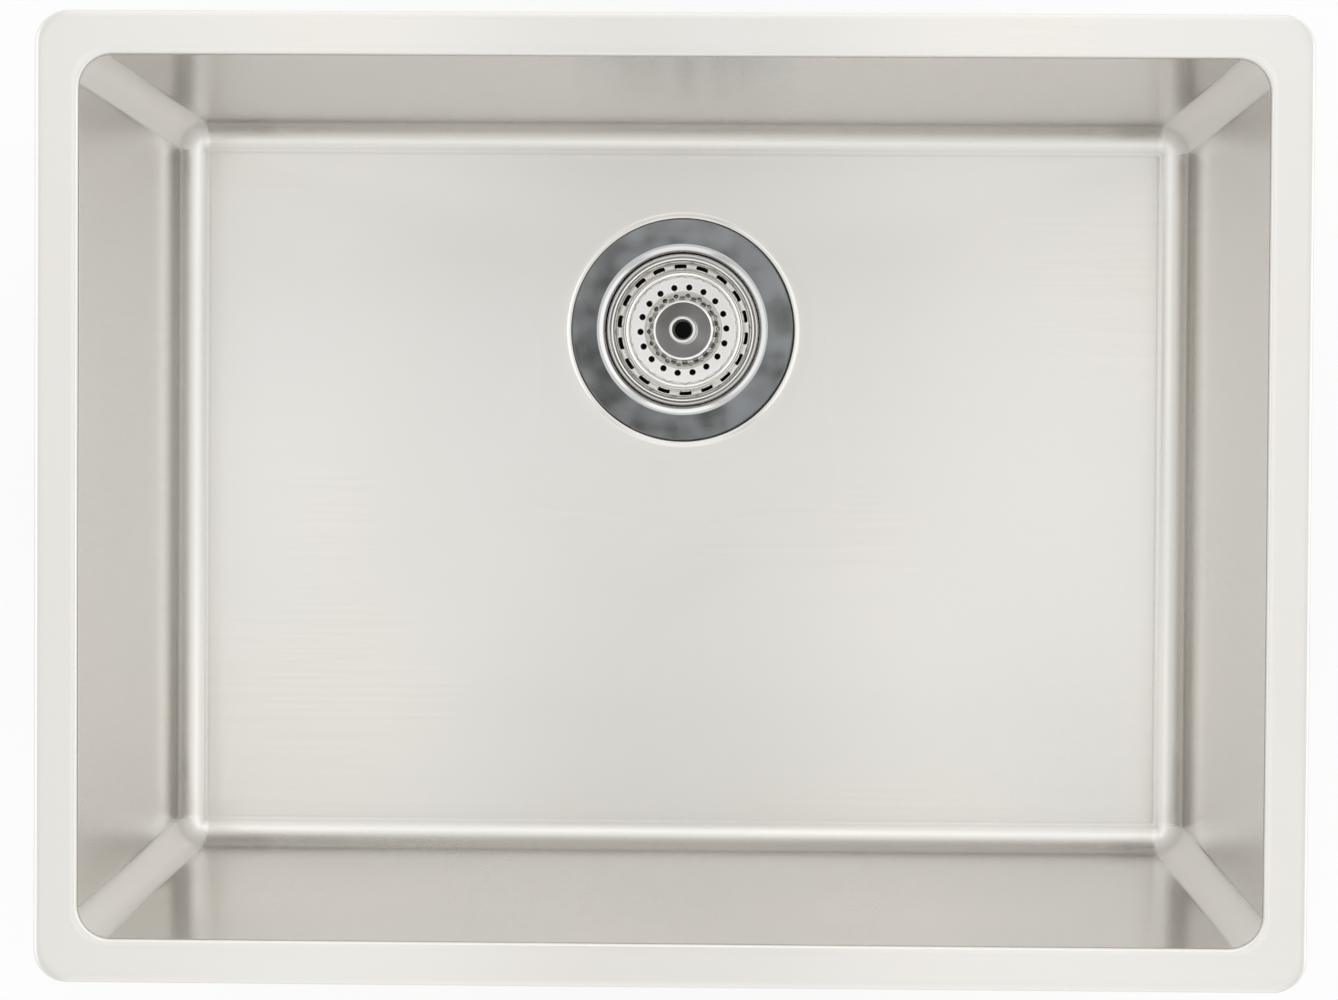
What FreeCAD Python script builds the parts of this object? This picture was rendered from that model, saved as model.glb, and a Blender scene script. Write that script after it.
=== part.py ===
import FreeCAD, Part
import math
import os
from FreeCAD import Vector

# Undermount utility sink: a pressed stainless bowl whose flange is fixed under a worktop, with sound
# pads on its outside, and a strainer in its floor whose basket turns in place and lifts out.
#
# Frame: millimetres, +Z up, +Y towards the rear wall. The origin is the middle of the bowl's opening,
# on the top face of the flange, which goes against the worktop. Pieces of the strainer are drawn round
# the Z axis, with depths measured down from the top of the strainer's flange, then set at the drain.

# Bowl
OPENING_LENGTH = 540.0          # along X, where the walls' planes meet the flange's top face
OPENING_WIDTH = 403.0           # along Y
FLANGE_LIP = 20.0
FLANGE_CORNER_RADIUS = 15.0
BOWL_DEPTH = 254.0              # flange top to the edge of the floor
SHEET = 1.5
CORNER_RADIUS = 15.0            # upright corners, inside
COVE_RADIUS = 12.0              # between walls and floor, inside
RIM_BEND_RADIUS = 1.0           # under the flange; the top of the bend is wider by the sheet
SIDE_DRAFT = 11.5               # how far a side wall leans in over the depth
FRONT_DRAFT = 15.5              # the same for the front and rear walls

# Floor and drain recess
FLOOR_MARGIN = 2.0              # level strip between the cove and the falling panel
FLOOR_FALL = 2.0                # edge of the panel to the square that its planes fall to
DRAIN_SETBACK = 104.5           # foot of the rear wall to the middle of the drain
DRAIN_HOLE_DIAMETER = 90.0
RECESS_DEPTH = 2.5              # below that square
RECESS_SLOPE = 45.0             # of the recess's wall, in degrees
RECESS_CLEARANCE = 1.5          # round the strainer's flange

# Sound pads
PAD_THICKNESS = 3.0
PAD_CORNER_RADIUS = 14.0
PAD_HEIGHT = 150.0
PAD_FRONT_LENGTH = 380.0
PAD_SIDE_LENGTH = 260.0
FLOOR_PAD_GAP = 8.0             # round the drain recess and between floor pads
FLOOR_PAD_MARGIN = 25.0         # between a floor pad and the edge of the falling panel

# Strainer body, a pressing
STRAINER_FLANGE_DIAMETER = 114.0
STRAINER_SHEET = 1.2
THROAT_RADIUS = 5.0
CUP_DIAMETER = 80.0
CUP_WALL_DEPTH = 26.0
CUP_BEND_RADIUS = 8.0
SEAT_DIAMETER = 60.0            # where the cup's cone meets the level of the stopper's seat
SEAT_DEPTH = 41.0
OUTLET_DIAMETER = 41.0
OUTLET_DEPTH = 60.0
CUP_THREAD_HEIGHT = 1.2         # over the cup's outside
CUP_THREAD_START = 5.0
CUP_THREAD_END = 25.0
OUTLET_THREAD_DIAMETER = 47.4
OUTLET_THREAD_LENGTH = 13.0
THREAD_CLEARANCE = 0.1

# What seals and clamps the strainer
GASKET_THICKNESS = 1.2
GASKET_WIDTH = 9.0
BOWL_WASHER_THICKNESS = 3.0
FRICTION_WASHER_THICKNESS = 0.8
WASHER_WIDTH = 13.0
WASHER_CLEARANCE = 0.8          # between a washer's bore and the cup's thread
LOCK_NUT_HEIGHT = 12.0
LOCK_NUT_WALL = 7.0
LOCK_NUT_FLANGE = 3.0
LOCK_NUT_REACH = 13.5           # bore to the tip of a lug
LUG_COUNT = 8
LUG_WIDTH = 9.0

# Outlet crossbar with the socket for the basket's tip
CROSSBAR_CLEARANCE = 0.05
ARM_COUNT = 3
ARM_WIDTH = 3.0
ARM_HEIGHT = 5.0
SOCKET_DIAMETER = 14.0
SOCKET_LENGTH = 9.0

# Tailpiece and its joint
TAILPIECE_DIAMETER = 38.1
TAILPIECE_WALL = 1.0
TAILPIECE_LENGTH = 100.0
TAILPIECE_FLANGE_THICKNESS = 1.5
TAILPIECE_FLANGE_CLEARANCE = 0.6
TAILPIECE_RELIEF = 0.3          # how far the neck under the flange is turned down
TAILPIECE_RELIEF_MARGIN = 2.0   # how far the neck shows below the coupling nut
TAILPIECE_WASHER_THICKNESS = 2.0
COUPLING_LIP_THICKNESS = 3.0
COUPLING_LIP_CLEARANCE = 0.4
COUPLING_OVERLAP = 11.0         # how far the nut runs up the outlet's thread
COUPLING_WALL = 4.0             # bore to the middle of a flat
COUPLING_CORNER_TRIM = 1.6      # how far its corners stand out past its flats
COUPLING_SIDES = 8

# Basket
BASKET_SHEET = 0.8
BASKET_RIM_DIAMETER = 77.6
BASKET_RIM_DEPTH = 9.0
BASKET_RIM_WIDTH = 3.0
BASKET_RIM_SKIRT = 2.8
BASKET_WALL_LEAN = 4.6
BASKET_FLOOR_DEPTH = 28.5
BASKET_FLOOR_FALL = 1.6
BASKET_FLOOR_BEND_RADIUS = 3.0
BOSS_FOOT_DIAMETER = 40.4
BOSS_TOP_DIAMETER = 32.0
BOSS_HEIGHT = 8.3
HOLE_COUNT = 18
HOLE_DIAMETER = 3.2
HOLE_CIRCLE_DIAMETER = 45.0
FIRST_HOLE_ANGLE = 2.6
WINDOW_COUNT = 18
WINDOW_WIDTH = 6.4
WINDOW_HEIGHT = 10.0
WINDOW_CORNER_RADIUS = 2.0

# Post, stopper and tip
POST_DIAMETER = 14.4
POST_BORE_DIAMETER = 10.2
POST_RISE = 19.0                # above the basket's boss
POST_BORE_DEPTH = 15.0
POST_EDGE_BEVEL = 0.8
STEM_DIAMETER = 8.0
STEM_CLEARANCE = 0.1
STOPPER_DIAMETER = 53.0
STOPPER_LIP = 2.0
STOPPER_FLARE = 6.0
STOPPER_HUB_DIAMETER = 20.0
STOPPER_NUT_SIDES = 6
STOPPER_NUT_SIZE = 13.0         # across flats
STOPPER_NUT_THICKNESS = 4.0
STEM_END = 0.5                  # past the nut
SPIGOT_DIAMETER = 4.8
SPIGOT_LENGTH = 7.0
SPIGOT_CLEARANCE = 0.05
TIP_DIAMETER = 7.8
TIP_CLEARANCE = 0.3             # all round the tip in its socket
TIP_COLLAR_DIAMETER = 11.0
TIP_COLLAR_THICKNESS = 1.5
TIP_LENGTH = 9.5
TIP_END_RADIUS = 1.5
TIP_SLIT_WIDTH = 1.0
TIP_SLIT_LENGTH = 5.0

# Levels and places worked out from these
FLOOR_LEVEL = -BOWL_DEPTH
PANEL_X = OPENING_LENGTH / 2 - SIDE_DRAFT - COVE_RADIUS - FLOOR_MARGIN
PANEL_Y = OPENING_WIDTH / 2 - FRONT_DRAFT - COVE_RADIUS - FLOOR_MARGIN
RECESS_LEVEL = FLOOR_LEVEL - FLOOR_FALL - RECESS_DEPTH
STRAINER_LEVEL = RECESS_LEVEL + GASKET_THICKNESS + STRAINER_SHEET
DRAIN_Y = OPENING_WIDTH / 2 - FRONT_DRAFT - DRAIN_SETBACK
RECESS_RADIUS = STRAINER_FLANGE_DIAMETER / 2 + RECESS_CLEARANCE
RECESS_EDGE_RADIUS = RECESS_RADIUS + (FLOOR_FALL + RECESS_DEPTH) / math.tan(math.radians(RECESS_SLOPE))
CUP_OUTER_RADIUS = CUP_DIAMETER / 2 + STRAINER_SHEET
CUP_THREAD_RADIUS = CUP_OUTER_RADIUS + CUP_THREAD_HEIGHT
BOWL_WASHER_DEPTH = STRAINER_SHEET + GASKET_THICKNESS + SHEET
FRICTION_WASHER_DEPTH = BOWL_WASHER_DEPTH + BOWL_WASHER_THICKNESS
LOCK_NUT_DEPTH = FRICTION_WASHER_DEPTH + FRICTION_WASHER_THICKNESS
BASKET_WALL_RADIUS = BASKET_RIM_DIAMETER / 2 - BASKET_RIM_WIDTH
BASKET_FOOT_RADIUS = BASKET_WALL_RADIUS - BASKET_WALL_LEAN
BOSS_FOOT_DEPTH = BASKET_FLOOR_DEPTH + BASKET_FLOOR_FALL
BOSS_DEPTH = BOSS_FOOT_DEPTH - BOSS_HEIGHT
STEM_END_DEPTH = SEAT_DEPTH + STOPPER_NUT_THICKNESS + STEM_END
TIP_DEPTH = STEM_END_DEPTH + SPIGOT_CLEARANCE
SOCKET_DEPTH = TIP_DEPTH + TIP_COLLAR_THICKNESS + TIP_CLEARANCE
TAILPIECE_WASHER_DEPTH = OUTLET_DEPTH
TAILPIECE_DEPTH = TAILPIECE_WASHER_DEPTH + TAILPIECE_WASHER_THICKNESS
COUPLING_LIP_DEPTH = TAILPIECE_DEPTH + TAILPIECE_FLANGE_THICKNESS
COUPLING_DEPTH = COUPLING_LIP_DEPTH + COUPLING_LIP_THICKNESS
TAILPIECE_NECK_DEPTH = COUPLING_DEPTH + TAILPIECE_RELIEF_MARGIN
TAILPIECE_END_DEPTH = TAILPIECE_DEPTH + TAILPIECE_LENGTH
COUPLING_BORE_RADIUS = OUTLET_THREAD_DIAMETER / 2 + THREAD_CLEARANCE
TAILPIECE_FLANGE_RADIUS = COUPLING_BORE_RADIUS - TAILPIECE_FLANGE_CLEARANCE

ORIGIN = Vector(0, 0, 0)
X_AXIS = Vector(1, 0, 0)
Z_AXIS = Vector(0, 0, 1)
HEADROOM = 10.0                 # how far a form that cuts stands clear of what it cuts
LEVEL_TOLERANCE = 1e-4
COVE_STEP = 0.5                 # the cove's radius stays under the upright corners' by at least this
SHARP = 0.0                     # a corner of a pressing with no bend radius


def polar(radius, degrees):
    """The X and Y of a point at a radius and an angle."""
    turn = math.radians(degrees)
    return radius * math.cos(turn), radius * math.sin(turn)


def level_arc(centre, radius, start, sweep):
    """An arc round an upright axis through centre, from one angle and through a sweep, in degrees."""
    points = []
    for degrees in (start, start + sweep / 2, start + sweep):
        points.append(centre + Vector(*polar(radius, degrees), 0))
    return Part.Arc(*points)


def rounded_rectangle(length, width, radius, level):
    """A closed wire round the Z axis: a rectangle with round corners, at one level."""
    middle_x = length / 2 - radius
    middle_y = width / 2 - radius
    middles = [(middle_x, middle_y), (-middle_x, middle_y), (-middle_x, -middle_y), (middle_x, -middle_y)]
    arcs = []
    for quarter, (x, y) in enumerate(middles):
        arcs.append(level_arc(Vector(x, y, level), radius, 90 * quarter, 90))
    edges = []
    for arc, following in zip(arcs, arcs[1:] + arcs[:1]):
        edges.append(arc.toShape())
        edges.append(Part.LineSegment(arc.EndPoint, following.StartPoint).toShape())
    return Part.Wire(edges)


def plate(length, width, radius, bottom, top):
    """A flat plate with round corners, between two levels."""
    outline = Part.Face(rounded_rectangle(length, width, radius, bottom))
    return outline.extrude(Vector(0, 0, top - bottom))


def level_edges(shape, level, length, width):
    """The edges of a shape that lie at one level, inside a rectangle round the Z axis."""
    found = []
    for edge in shape.Edges:
        box = edge.BoundBox
        at_level = max(abs(box.ZMin - level), abs(box.ZMax - level)) < LEVEL_TOLERANCE
        inside = max(box.XMax, -box.XMin) < length / 2 and max(box.YMax, -box.YMin) < width / 2
        if at_level and inside:
            found.append(edge)
    return found


def ring(inner_radius, outer_radius, top_depth, bottom_depth):
    """A plain ring round the Z axis, between two depths."""
    height = bottom_depth - top_depth
    base = Vector(0, 0, -bottom_depth)
    return Part.makeCylinder(outer_radius, height, base).cut(Part.makeCylinder(inner_radius, height, base))


def section_point(corner):
    """A point of a turned section: a radius and a depth."""
    radius, depth = corner
    return Vector(radius, 0, -depth)


def bent_line(corners, bends):
    """Edges of straight runs through corners, with an arc of the given radius at each bent corner."""
    points = [section_point(corner) for corner in corners]
    edges = []
    start = points[0]
    for before, corner, after, bend in zip(points, points[1:], points[2:], bends):
        if bend == SHARP:
            edges.append(Part.LineSegment(start, corner).toShape())
            start = corner
            continue
        back = (before - corner).normalize()
        ahead = (after - corner).normalize()
        half_angle = back.getAngle(ahead) / 2
        run = bend / math.tan(half_angle)
        middle = (back + ahead).normalize() * (bend / math.sin(half_angle) - bend)
        edges.append(Part.LineSegment(start, corner + back * run).toShape())
        edges.append(Part.Arc(corner + back * run, corner + middle, corner + ahead * run).toShape())
        start = corner + ahead * run
    edges.append(Part.LineSegment(start, points[-1]).toShape())
    return edges


def sheet_back(corners, bends, thickness):
    """Corners and bend radii of the far side of a sheet, on the left of a line that runs inwards."""
    runs = [Vector(x1 - x0, d1 - d0, 0).normalize() for (x0, d0), (x1, d1) in zip(corners, corners[1:])]
    normals = [Vector(run.y, -run.x, 0) for run in runs]
    far = [Vector(*corners[0], 0) + normals[0] * thickness]
    far_bends = []
    for corner, before, after, bend in zip(corners[1:], normals, normals[1:], bends):
        mitre = (before + after) * (thickness / (1 + before.dot(after)))
        far.append(Vector(*corner, 0) + mitre)
        growth = -thickness if before.cross(after).z < 0 else thickness
        far_bends.append(SHARP if bend == SHARP else bend + growth)
    far.append(Vector(*corners[-1], 0) + normals[-1] * thickness)
    return [(point.x, point.y) for point in far], far_bends


def turned(edges):
    """The solid that a closed section makes when it is turned about the Z axis."""
    outline = Part.Wire(Part.__sortEdges__(edges))
    return Part.Face(outline).revolve(ORIGIN, Z_AXIS, 360)


def pressing(corners, bends, thickness):
    """A round pressing: a sheet of even thickness that follows a bent line, turned about the Z axis."""
    far, far_bends = sheet_back(corners, bends, thickness)
    edges = bent_line(corners, bends) + bent_line(far, far_bends)
    edges.append(Part.LineSegment(section_point(corners[0]), section_point(far[0])).toShape())
    edges.append(Part.LineSegment(section_point(corners[-1]), section_point(far[-1])).toShape())
    return turned(edges)


def turning(corners):
    """A turned solid whose section is a polygon of radii and depths."""
    points = [section_point(corner) for corner in corners]
    edges = []
    for start, end in zip(points, points[1:] + points[:1]):
        edges.append(Part.LineSegment(start, end).toShape())
    return turned(edges)


def polygon_prism(sides, flat_radius, top_depth, bottom_depth):
    """A prism with a regular outline, given the distance of its flats from the Z axis."""
    corner_radius = flat_radius / math.cos(math.pi / sides)
    corners = [Vector(*polar(corner_radius, 360 * side / sides), -bottom_depth) for side in range(sides + 1)]
    return Part.Face(Part.makePolygon(corners)).extrude(Vector(0, 0, bottom_depth - top_depth))


def around(shape, count, first_angle):
    """Copies of a shape, evenly spaced round the Z axis."""
    copies = []
    for number in range(count):
        copy = shape.copy()
        copy.rotate(ORIGIN, Z_AXIS, first_angle + 360 * number / count)
        copies.append(copy)
    return copies


def at_drain(shape):
    """A piece of the strainer, set at its place in the drain."""
    return shape.translated(Vector(0, DRAIN_Y, STRAINER_LEVEL))


def wall_form(skin):
    """The space inside the walls, as a solid, grown outwards by a skin: four leaning planes with round
    upright corners and the cove round the foot."""
    bottom = FLOOR_LEVEL - skin
    lean = bottom / FLOOR_LEVEL
    top_x = OPENING_LENGTH / 2 + skin
    top_y = OPENING_WIDTH / 2 + skin
    foot_x = top_x - SIDE_DRAFT * lean
    foot_y = top_y - FRONT_DRAFT * lean
    block = Part.makeWedge(-foot_x, bottom, -foot_y, -top_y, -top_x, foot_x, 0, foot_y, top_y, top_x)
    block.rotate(ORIGIN, X_AXIS, 90)
    uprights = [edge for edge in block.Edges if edge.BoundBox.ZLength > BOWL_DEPTH / 2]
    block = block.makeFillet(CORNER_RADIUS + skin, uprights)
    cove = min(COVE_RADIUS, CORNER_RADIUS - COVE_STEP) + skin
    return block.makeFillet(cove, level_edges(block, bottom, 2 * top_x, 2 * top_y))


def floor_form(skin):
    """What the floor's fall and the drain recess add below the level floor, grown by a skin: four planes
    that fall to the largest square inside the recess, and the recess with its sloping wall."""
    level = FLOOR_LEVEL - skin
    half = RECESS_RADIUS / math.sqrt(2)
    fall = Part.makeWedge(-half, level - FLOOR_FALL, -DRAIN_Y - half, -PANEL_Y, -PANEL_X,
                          half, level, -DRAIN_Y + half, PANEL_Y, PANEL_X)
    fall.rotate(ORIGIN, X_AXIS, 90)
    top = skin - FLOOR_LEVEL
    seat = skin - RECESS_LEVEL
    mitre = skin * math.tan(math.radians(RECESS_SLOPE) / 2)
    recess = turning([(0, top), (RECESS_EDGE_RADIUS + mitre, top), (RECESS_RADIUS + mitre, seat), (0, seat)])
    return fall.fuse(recess.translated(Vector(0, DRAIN_Y, 0)))


def bowl_outside():
    """The bowl's outside below the flange, as a solid."""
    return wall_form(SHEET).fuse(floor_form(SHEET)).removeSplitter()


def bowl(outside):
    """The bowl: its outside and flange, hollowed by its inside, with rounded bends and the drain hole."""
    flange_length = OPENING_LENGTH + 2 * FLANGE_LIP
    flange_width = OPENING_WIDTH + 2 * FLANGE_LIP
    flange = plate(flange_length, flange_width, FLANGE_CORNER_RADIUS, -SHEET, 0)
    pressed = outside.fuse(flange).removeSplitter()
    under_bend = level_edges(pressed, -SHEET, flange_length - FLANGE_LIP, flange_width - FLANGE_LIP)
    pressed = pressed.makeFillet(RIM_BEND_RADIUS, under_bend)

    headroom = plate(flange_length, flange_width, FLANGE_CORNER_RADIUS, 0, HEADROOM)
    inside = wall_form(0).fuse(floor_form(0)).fuse(headroom).removeSplitter()
    top_bend = level_edges(inside, 0, flange_length - FLANGE_LIP, flange_width - FLANGE_LIP)
    inside = inside.makeFillet(RIM_BEND_RADIUS + SHEET, top_bend)

    drain_hole = Part.makeCylinder(DRAIN_HOLE_DIAMETER / 2, 2 * HEADROOM,
                                   Vector(0, DRAIN_Y, RECESS_LEVEL - HEADROOM))
    return pressed.cut(inside).cut(drain_hole)


def wall_pad(turn, length, opening, draft):
    """A sound pad flat on the outside of one wall; turn 0 is the front, 90 the right, and so on."""
    lean = math.degrees(math.atan(draft / BOWL_DEPTH))
    pad = plate(length, PAD_HEIGHT, PAD_CORNER_RADIUS, 0, PAD_THICKNESS)
    pad.rotate(ORIGIN, X_AXIS, 90 + lean)
    pad.translate(Vector(0, draft / 2 - opening / 2 - SHEET, -BOWL_DEPTH / 2))
    pad.rotate(ORIGIN, Z_AXIS, turn)
    return pad


def floor_pad(outside, x_span, y_span):
    """A sound pad under the floor, which follows the floor's fall, between two X and two Y places."""
    length = x_span[1] - x_span[0]
    width = y_span[1] - y_span[0]
    outline = plate(length, width, PAD_CORNER_RADIUS, RECESS_LEVEL - HEADROOM, FLOOR_LEVEL)
    outline.translate(Vector(sum(x_span) / 2, sum(y_span) / 2, 0))
    return outside.translated(Vector(0, 0, -PAD_THICKNESS)).cut(outside).common(outline)


def strainer_body():
    """The strainer's pressing: flange, throat, cup, cone, stopper seat and outlet, with plain threads."""
    outlet_radius = OUTLET_DIAMETER / 2
    cup_radius = CUP_DIAMETER / 2
    corners = [(STRAINER_FLANGE_DIAMETER / 2, 0), (cup_radius, 0), (cup_radius, CUP_WALL_DEPTH),
               (SEAT_DIAMETER / 2, SEAT_DEPTH), (outlet_radius, SEAT_DEPTH), (outlet_radius, OUTLET_DEPTH)]
    bends = [THROAT_RADIUS, CUP_BEND_RADIUS, SHARP, SHARP]
    body = pressing(corners, bends, STRAINER_SHEET)
    in_sheet = STRAINER_SHEET / 2
    cup_thread = ring(cup_radius + in_sheet, CUP_THREAD_RADIUS, CUP_THREAD_START, CUP_THREAD_END)
    outlet_thread = ring(outlet_radius + in_sheet, OUTLET_THREAD_DIAMETER / 2,
                         OUTLET_DEPTH - OUTLET_THREAD_LENGTH, OUTLET_DEPTH)
    return body.fuse([cup_thread, outlet_thread]).removeSplitter()


def flange_gasket():
    """The flat seal between the strainer's flange and the recess."""
    outer = STRAINER_FLANGE_DIAMETER / 2 - RECESS_CLEARANCE
    return ring(outer - GASKET_WIDTH, outer, STRAINER_SHEET, STRAINER_SHEET + GASKET_THICKNESS)


def washer(depth, thickness):
    """A washer under the bowl's floor, round the strainer's cup."""
    inner = CUP_THREAD_RADIUS + WASHER_CLEARANCE
    return ring(inner, inner + WASHER_WIDTH, depth, depth + thickness)


def lock_nut():
    """The large nut under the floor: a ring with a flange on top and lugs for a spanner."""
    bore = CUP_THREAD_RADIUS + THREAD_CLEARANCE
    reach = bore + LOCK_NUT_REACH
    bottom = LOCK_NUT_DEPTH + LOCK_NUT_HEIGHT
    wall = ring(bore, bore + LOCK_NUT_WALL, LOCK_NUT_DEPTH, bottom)
    flange = ring(bore, reach, LOCK_NUT_DEPTH, LOCK_NUT_DEPTH + LOCK_NUT_FLANGE)
    start = bore + LOCK_NUT_WALL / 2
    lug = Part.makeBox(reach - start, LUG_WIDTH, LOCK_NUT_HEIGHT, Vector(start, -LUG_WIDTH / 2, -bottom))
    lugs = around(lug, LUG_COUNT, 0)
    outline = Part.makeCylinder(reach, LOCK_NUT_HEIGHT, Vector(0, 0, -bottom))
    return wall.fuse([flange] + lugs).common(outline).removeSplitter()


def outlet_crossbar():
    """The bar across the outlet: arms that end on the outlet's wall, and a socket in the middle."""
    outlet_radius = OUTLET_DIAMETER / 2 - CROSSBAR_CLEARANCE
    bottom = SOCKET_DEPTH + SOCKET_LENGTH
    arm_bottom = bottom - (SOCKET_LENGTH - ARM_HEIGHT) / 2
    arm = Part.makeBox(2 * outlet_radius, ARM_WIDTH, ARM_HEIGHT, Vector(0, -ARM_WIDTH / 2, -arm_bottom))
    hub = Part.makeCylinder(SOCKET_DIAMETER / 2, SOCKET_LENGTH, Vector(0, 0, -bottom))
    outline = Part.makeCylinder(outlet_radius, SOCKET_LENGTH, Vector(0, 0, -bottom))
    bore = Part.makeCylinder(TIP_DIAMETER / 2 + TIP_CLEARANCE, SOCKET_LENGTH, Vector(0, 0, -bottom))
    return hub.fuse(around(arm, ARM_COUNT, 90)).common(outline).cut(bore).removeSplitter()


def tailpiece_washer():
    """The washer between the outlet's end and the tailpiece's flange."""
    inner = TAILPIECE_DIAMETER / 2 - TAILPIECE_WALL
    return ring(inner, TAILPIECE_FLANGE_RADIUS, TAILPIECE_WASHER_DEPTH, TAILPIECE_DEPTH)


def tailpiece():
    """The flanged outlet tube that a trap slides onto, with a turned neck under its flange."""
    outer = TAILPIECE_DIAMETER / 2
    inner = outer - TAILPIECE_WALL
    neck = outer - TAILPIECE_RELIEF
    return turning([(inner, TAILPIECE_DEPTH), (TAILPIECE_FLANGE_RADIUS, TAILPIECE_DEPTH),
                    (TAILPIECE_FLANGE_RADIUS, COUPLING_LIP_DEPTH), (neck, COUPLING_LIP_DEPTH),
                    (neck, TAILPIECE_NECK_DEPTH), (outer, TAILPIECE_NECK_DEPTH),
                    (outer, TAILPIECE_END_DEPTH), (inner, TAILPIECE_END_DEPTH)])


def coupling_nut():
    """The nut that draws the tailpiece's flange against the outlet, with flats for a wrench."""
    top = OUTLET_DEPTH - COUPLING_OVERLAP
    bottom = COUPLING_DEPTH
    flat_radius = COUPLING_BORE_RADIUS + COUPLING_WALL
    lip_radius = TAILPIECE_DIAMETER / 2 + COUPLING_LIP_CLEARANCE
    outline = Part.makeCylinder(flat_radius + COUPLING_CORNER_TRIM, bottom - top, Vector(0, 0, -bottom))
    nut = polygon_prism(COUPLING_SIDES, flat_radius, top, bottom).common(outline)
    seat = Vector(0, 0, -COUPLING_LIP_DEPTH)
    bore = Part.makeCylinder(COUPLING_BORE_RADIUS, COUPLING_LIP_DEPTH - top, seat)
    return nut.cut(bore).cut(Part.makeCylinder(lip_radius, bottom - top, Vector(0, 0, -bottom)))


def basket_window():
    """The cut for one window of the basket's wall, on the X axis."""
    middle_depth = (BASKET_RIM_DEPTH + BASKET_RIM_SKIRT + BASKET_FLOOR_DEPTH - BASKET_FLOOR_BEND_RADIUS) / 2
    inner = BASKET_FOOT_RADIUS - BASKET_FLOOR_BEND_RADIUS
    outer = BASKET_RIM_DIAMETER / 2
    window = plate(WINDOW_HEIGHT, WINDOW_WIDTH, WINDOW_CORNER_RADIUS, inner, outer)
    window.rotate(ORIGIN, Vector(0, 1, 0), 90)
    return window.translated(Vector(0, 0, -middle_depth))


def basket_cup():
    """The basket: a pressing with a turned-down rim, leaning wall, falling floor and raised boss, pierced by
    a ring of round holes in its floor and a ring of windows in its wall."""
    rim_radius = BASKET_RIM_DIAMETER / 2
    corners = [(rim_radius, BASKET_RIM_DEPTH + BASKET_RIM_SKIRT), (rim_radius, BASKET_RIM_DEPTH),
               (BASKET_WALL_RADIUS, BASKET_RIM_DEPTH), (BASKET_FOOT_RADIUS, BASKET_FLOOR_DEPTH),
               (BOSS_FOOT_DIAMETER / 2, BOSS_FOOT_DEPTH), (BOSS_TOP_DIAMETER / 2, BOSS_DEPTH),
               (STEM_DIAMETER / 2 + STEM_CLEARANCE, BOSS_DEPTH)]
    bends = [SHARP, SHARP, BASKET_FLOOR_BEND_RADIUS, SHARP, SHARP]
    cup = pressing(corners, bends, BASKET_SHEET)
    hole = Part.makeCylinder(HOLE_DIAMETER / 2, 2 * BOSS_HEIGHT,
                             Vector(HOLE_CIRCLE_DIAMETER / 2, 0, -BOSS_FOOT_DEPTH - BOSS_HEIGHT))
    half_pitch = 180 / WINDOW_COUNT
    cuts = around(hole, HOLE_COUNT, FIRST_HOLE_ANGLE)
    cuts += around(basket_window(), WINDOW_COUNT, FIRST_HOLE_ANGLE + half_pitch)
    return cup.cut(cuts)


def basket_post():
    """The hollow post that the basket is lifted by, with the stem that carries stopper and tip."""
    radius = POST_DIAMETER / 2
    bore = POST_BORE_DIAMETER / 2
    stem = STEM_DIAMETER / 2
    spigot = SPIGOT_DIAMETER / 2
    top = BOSS_DEPTH - POST_RISE
    spigot_end = STEM_END_DEPTH + SPIGOT_LENGTH
    post = turning([(0, top + POST_BORE_DEPTH), (bore, top + POST_BORE_DEPTH), (bore, top), (radius, top),
                    (radius, BOSS_DEPTH), (stem, BOSS_DEPTH), (stem, STEM_END_DEPTH),
                    (spigot, STEM_END_DEPTH), (spigot, spigot_end), (0, spigot_end)])
    rim = level_edges(post, -top, 2 * POST_DIAMETER, 2 * POST_DIAMETER)
    return post.makeChamfer(POST_EDGE_BEVEL, rim)


def stopper():
    """The rubber bell under the basket, whose lip closes the outlet."""
    stem = STEM_DIAMETER / 2 + STEM_CLEARANCE
    hub = STOPPER_HUB_DIAMETER / 2
    lip = STOPPER_DIAMETER / 2
    hub_top = BOSS_DEPTH + BASKET_SHEET
    lip_top = SEAT_DEPTH - STOPPER_LIP
    return turning([(stem, hub_top), (hub, hub_top), (hub, lip_top - STOPPER_FLARE), (lip, lip_top),
                    (lip, SEAT_DEPTH), (stem, SEAT_DEPTH)])


def stopper_nut():
    """The nut that holds the stopper on the stem."""
    bottom = SEAT_DEPTH + STOPPER_NUT_THICKNESS
    nut = polygon_prism(STOPPER_NUT_SIDES, STOPPER_NUT_SIZE / 2, SEAT_DEPTH, bottom)
    bore = STEM_DIAMETER / 2 + STEM_CLEARANCE
    return nut.cut(Part.makeCylinder(bore, STOPPER_NUT_THICKNESS, Vector(0, 0, -bottom)))


def snap_tip():
    """The tip on the post's spigot: a collar and a split nose that springs into the socket."""
    bore = SPIGOT_DIAMETER / 2 + SPIGOT_CLEARANCE
    nose = TIP_DIAMETER / 2
    collar = TIP_COLLAR_DIAMETER / 2
    collar_bottom = TIP_DEPTH + TIP_COLLAR_THICKNESS
    bore_bottom = STEM_END_DEPTH + SPIGOT_LENGTH + SPIGOT_CLEARANCE
    bottom = TIP_DEPTH + TIP_LENGTH
    tip = turning([(bore, TIP_DEPTH), (collar, TIP_DEPTH), (collar, collar_bottom), (nose, collar_bottom),
                   (nose, bottom - TIP_END_RADIUS), (nose - TIP_END_RADIUS, bottom), (0, bottom),
                   (0, bore_bottom), (bore, bore_bottom)])
    slit_corner = Vector(-nose, -TIP_SLIT_WIDTH / 2, -bottom)
    slit = Part.makeBox(2 * nose, TIP_SLIT_WIDTH, TIP_SLIT_LENGTH, slit_corner)
    return tip.cut(slit)


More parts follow.
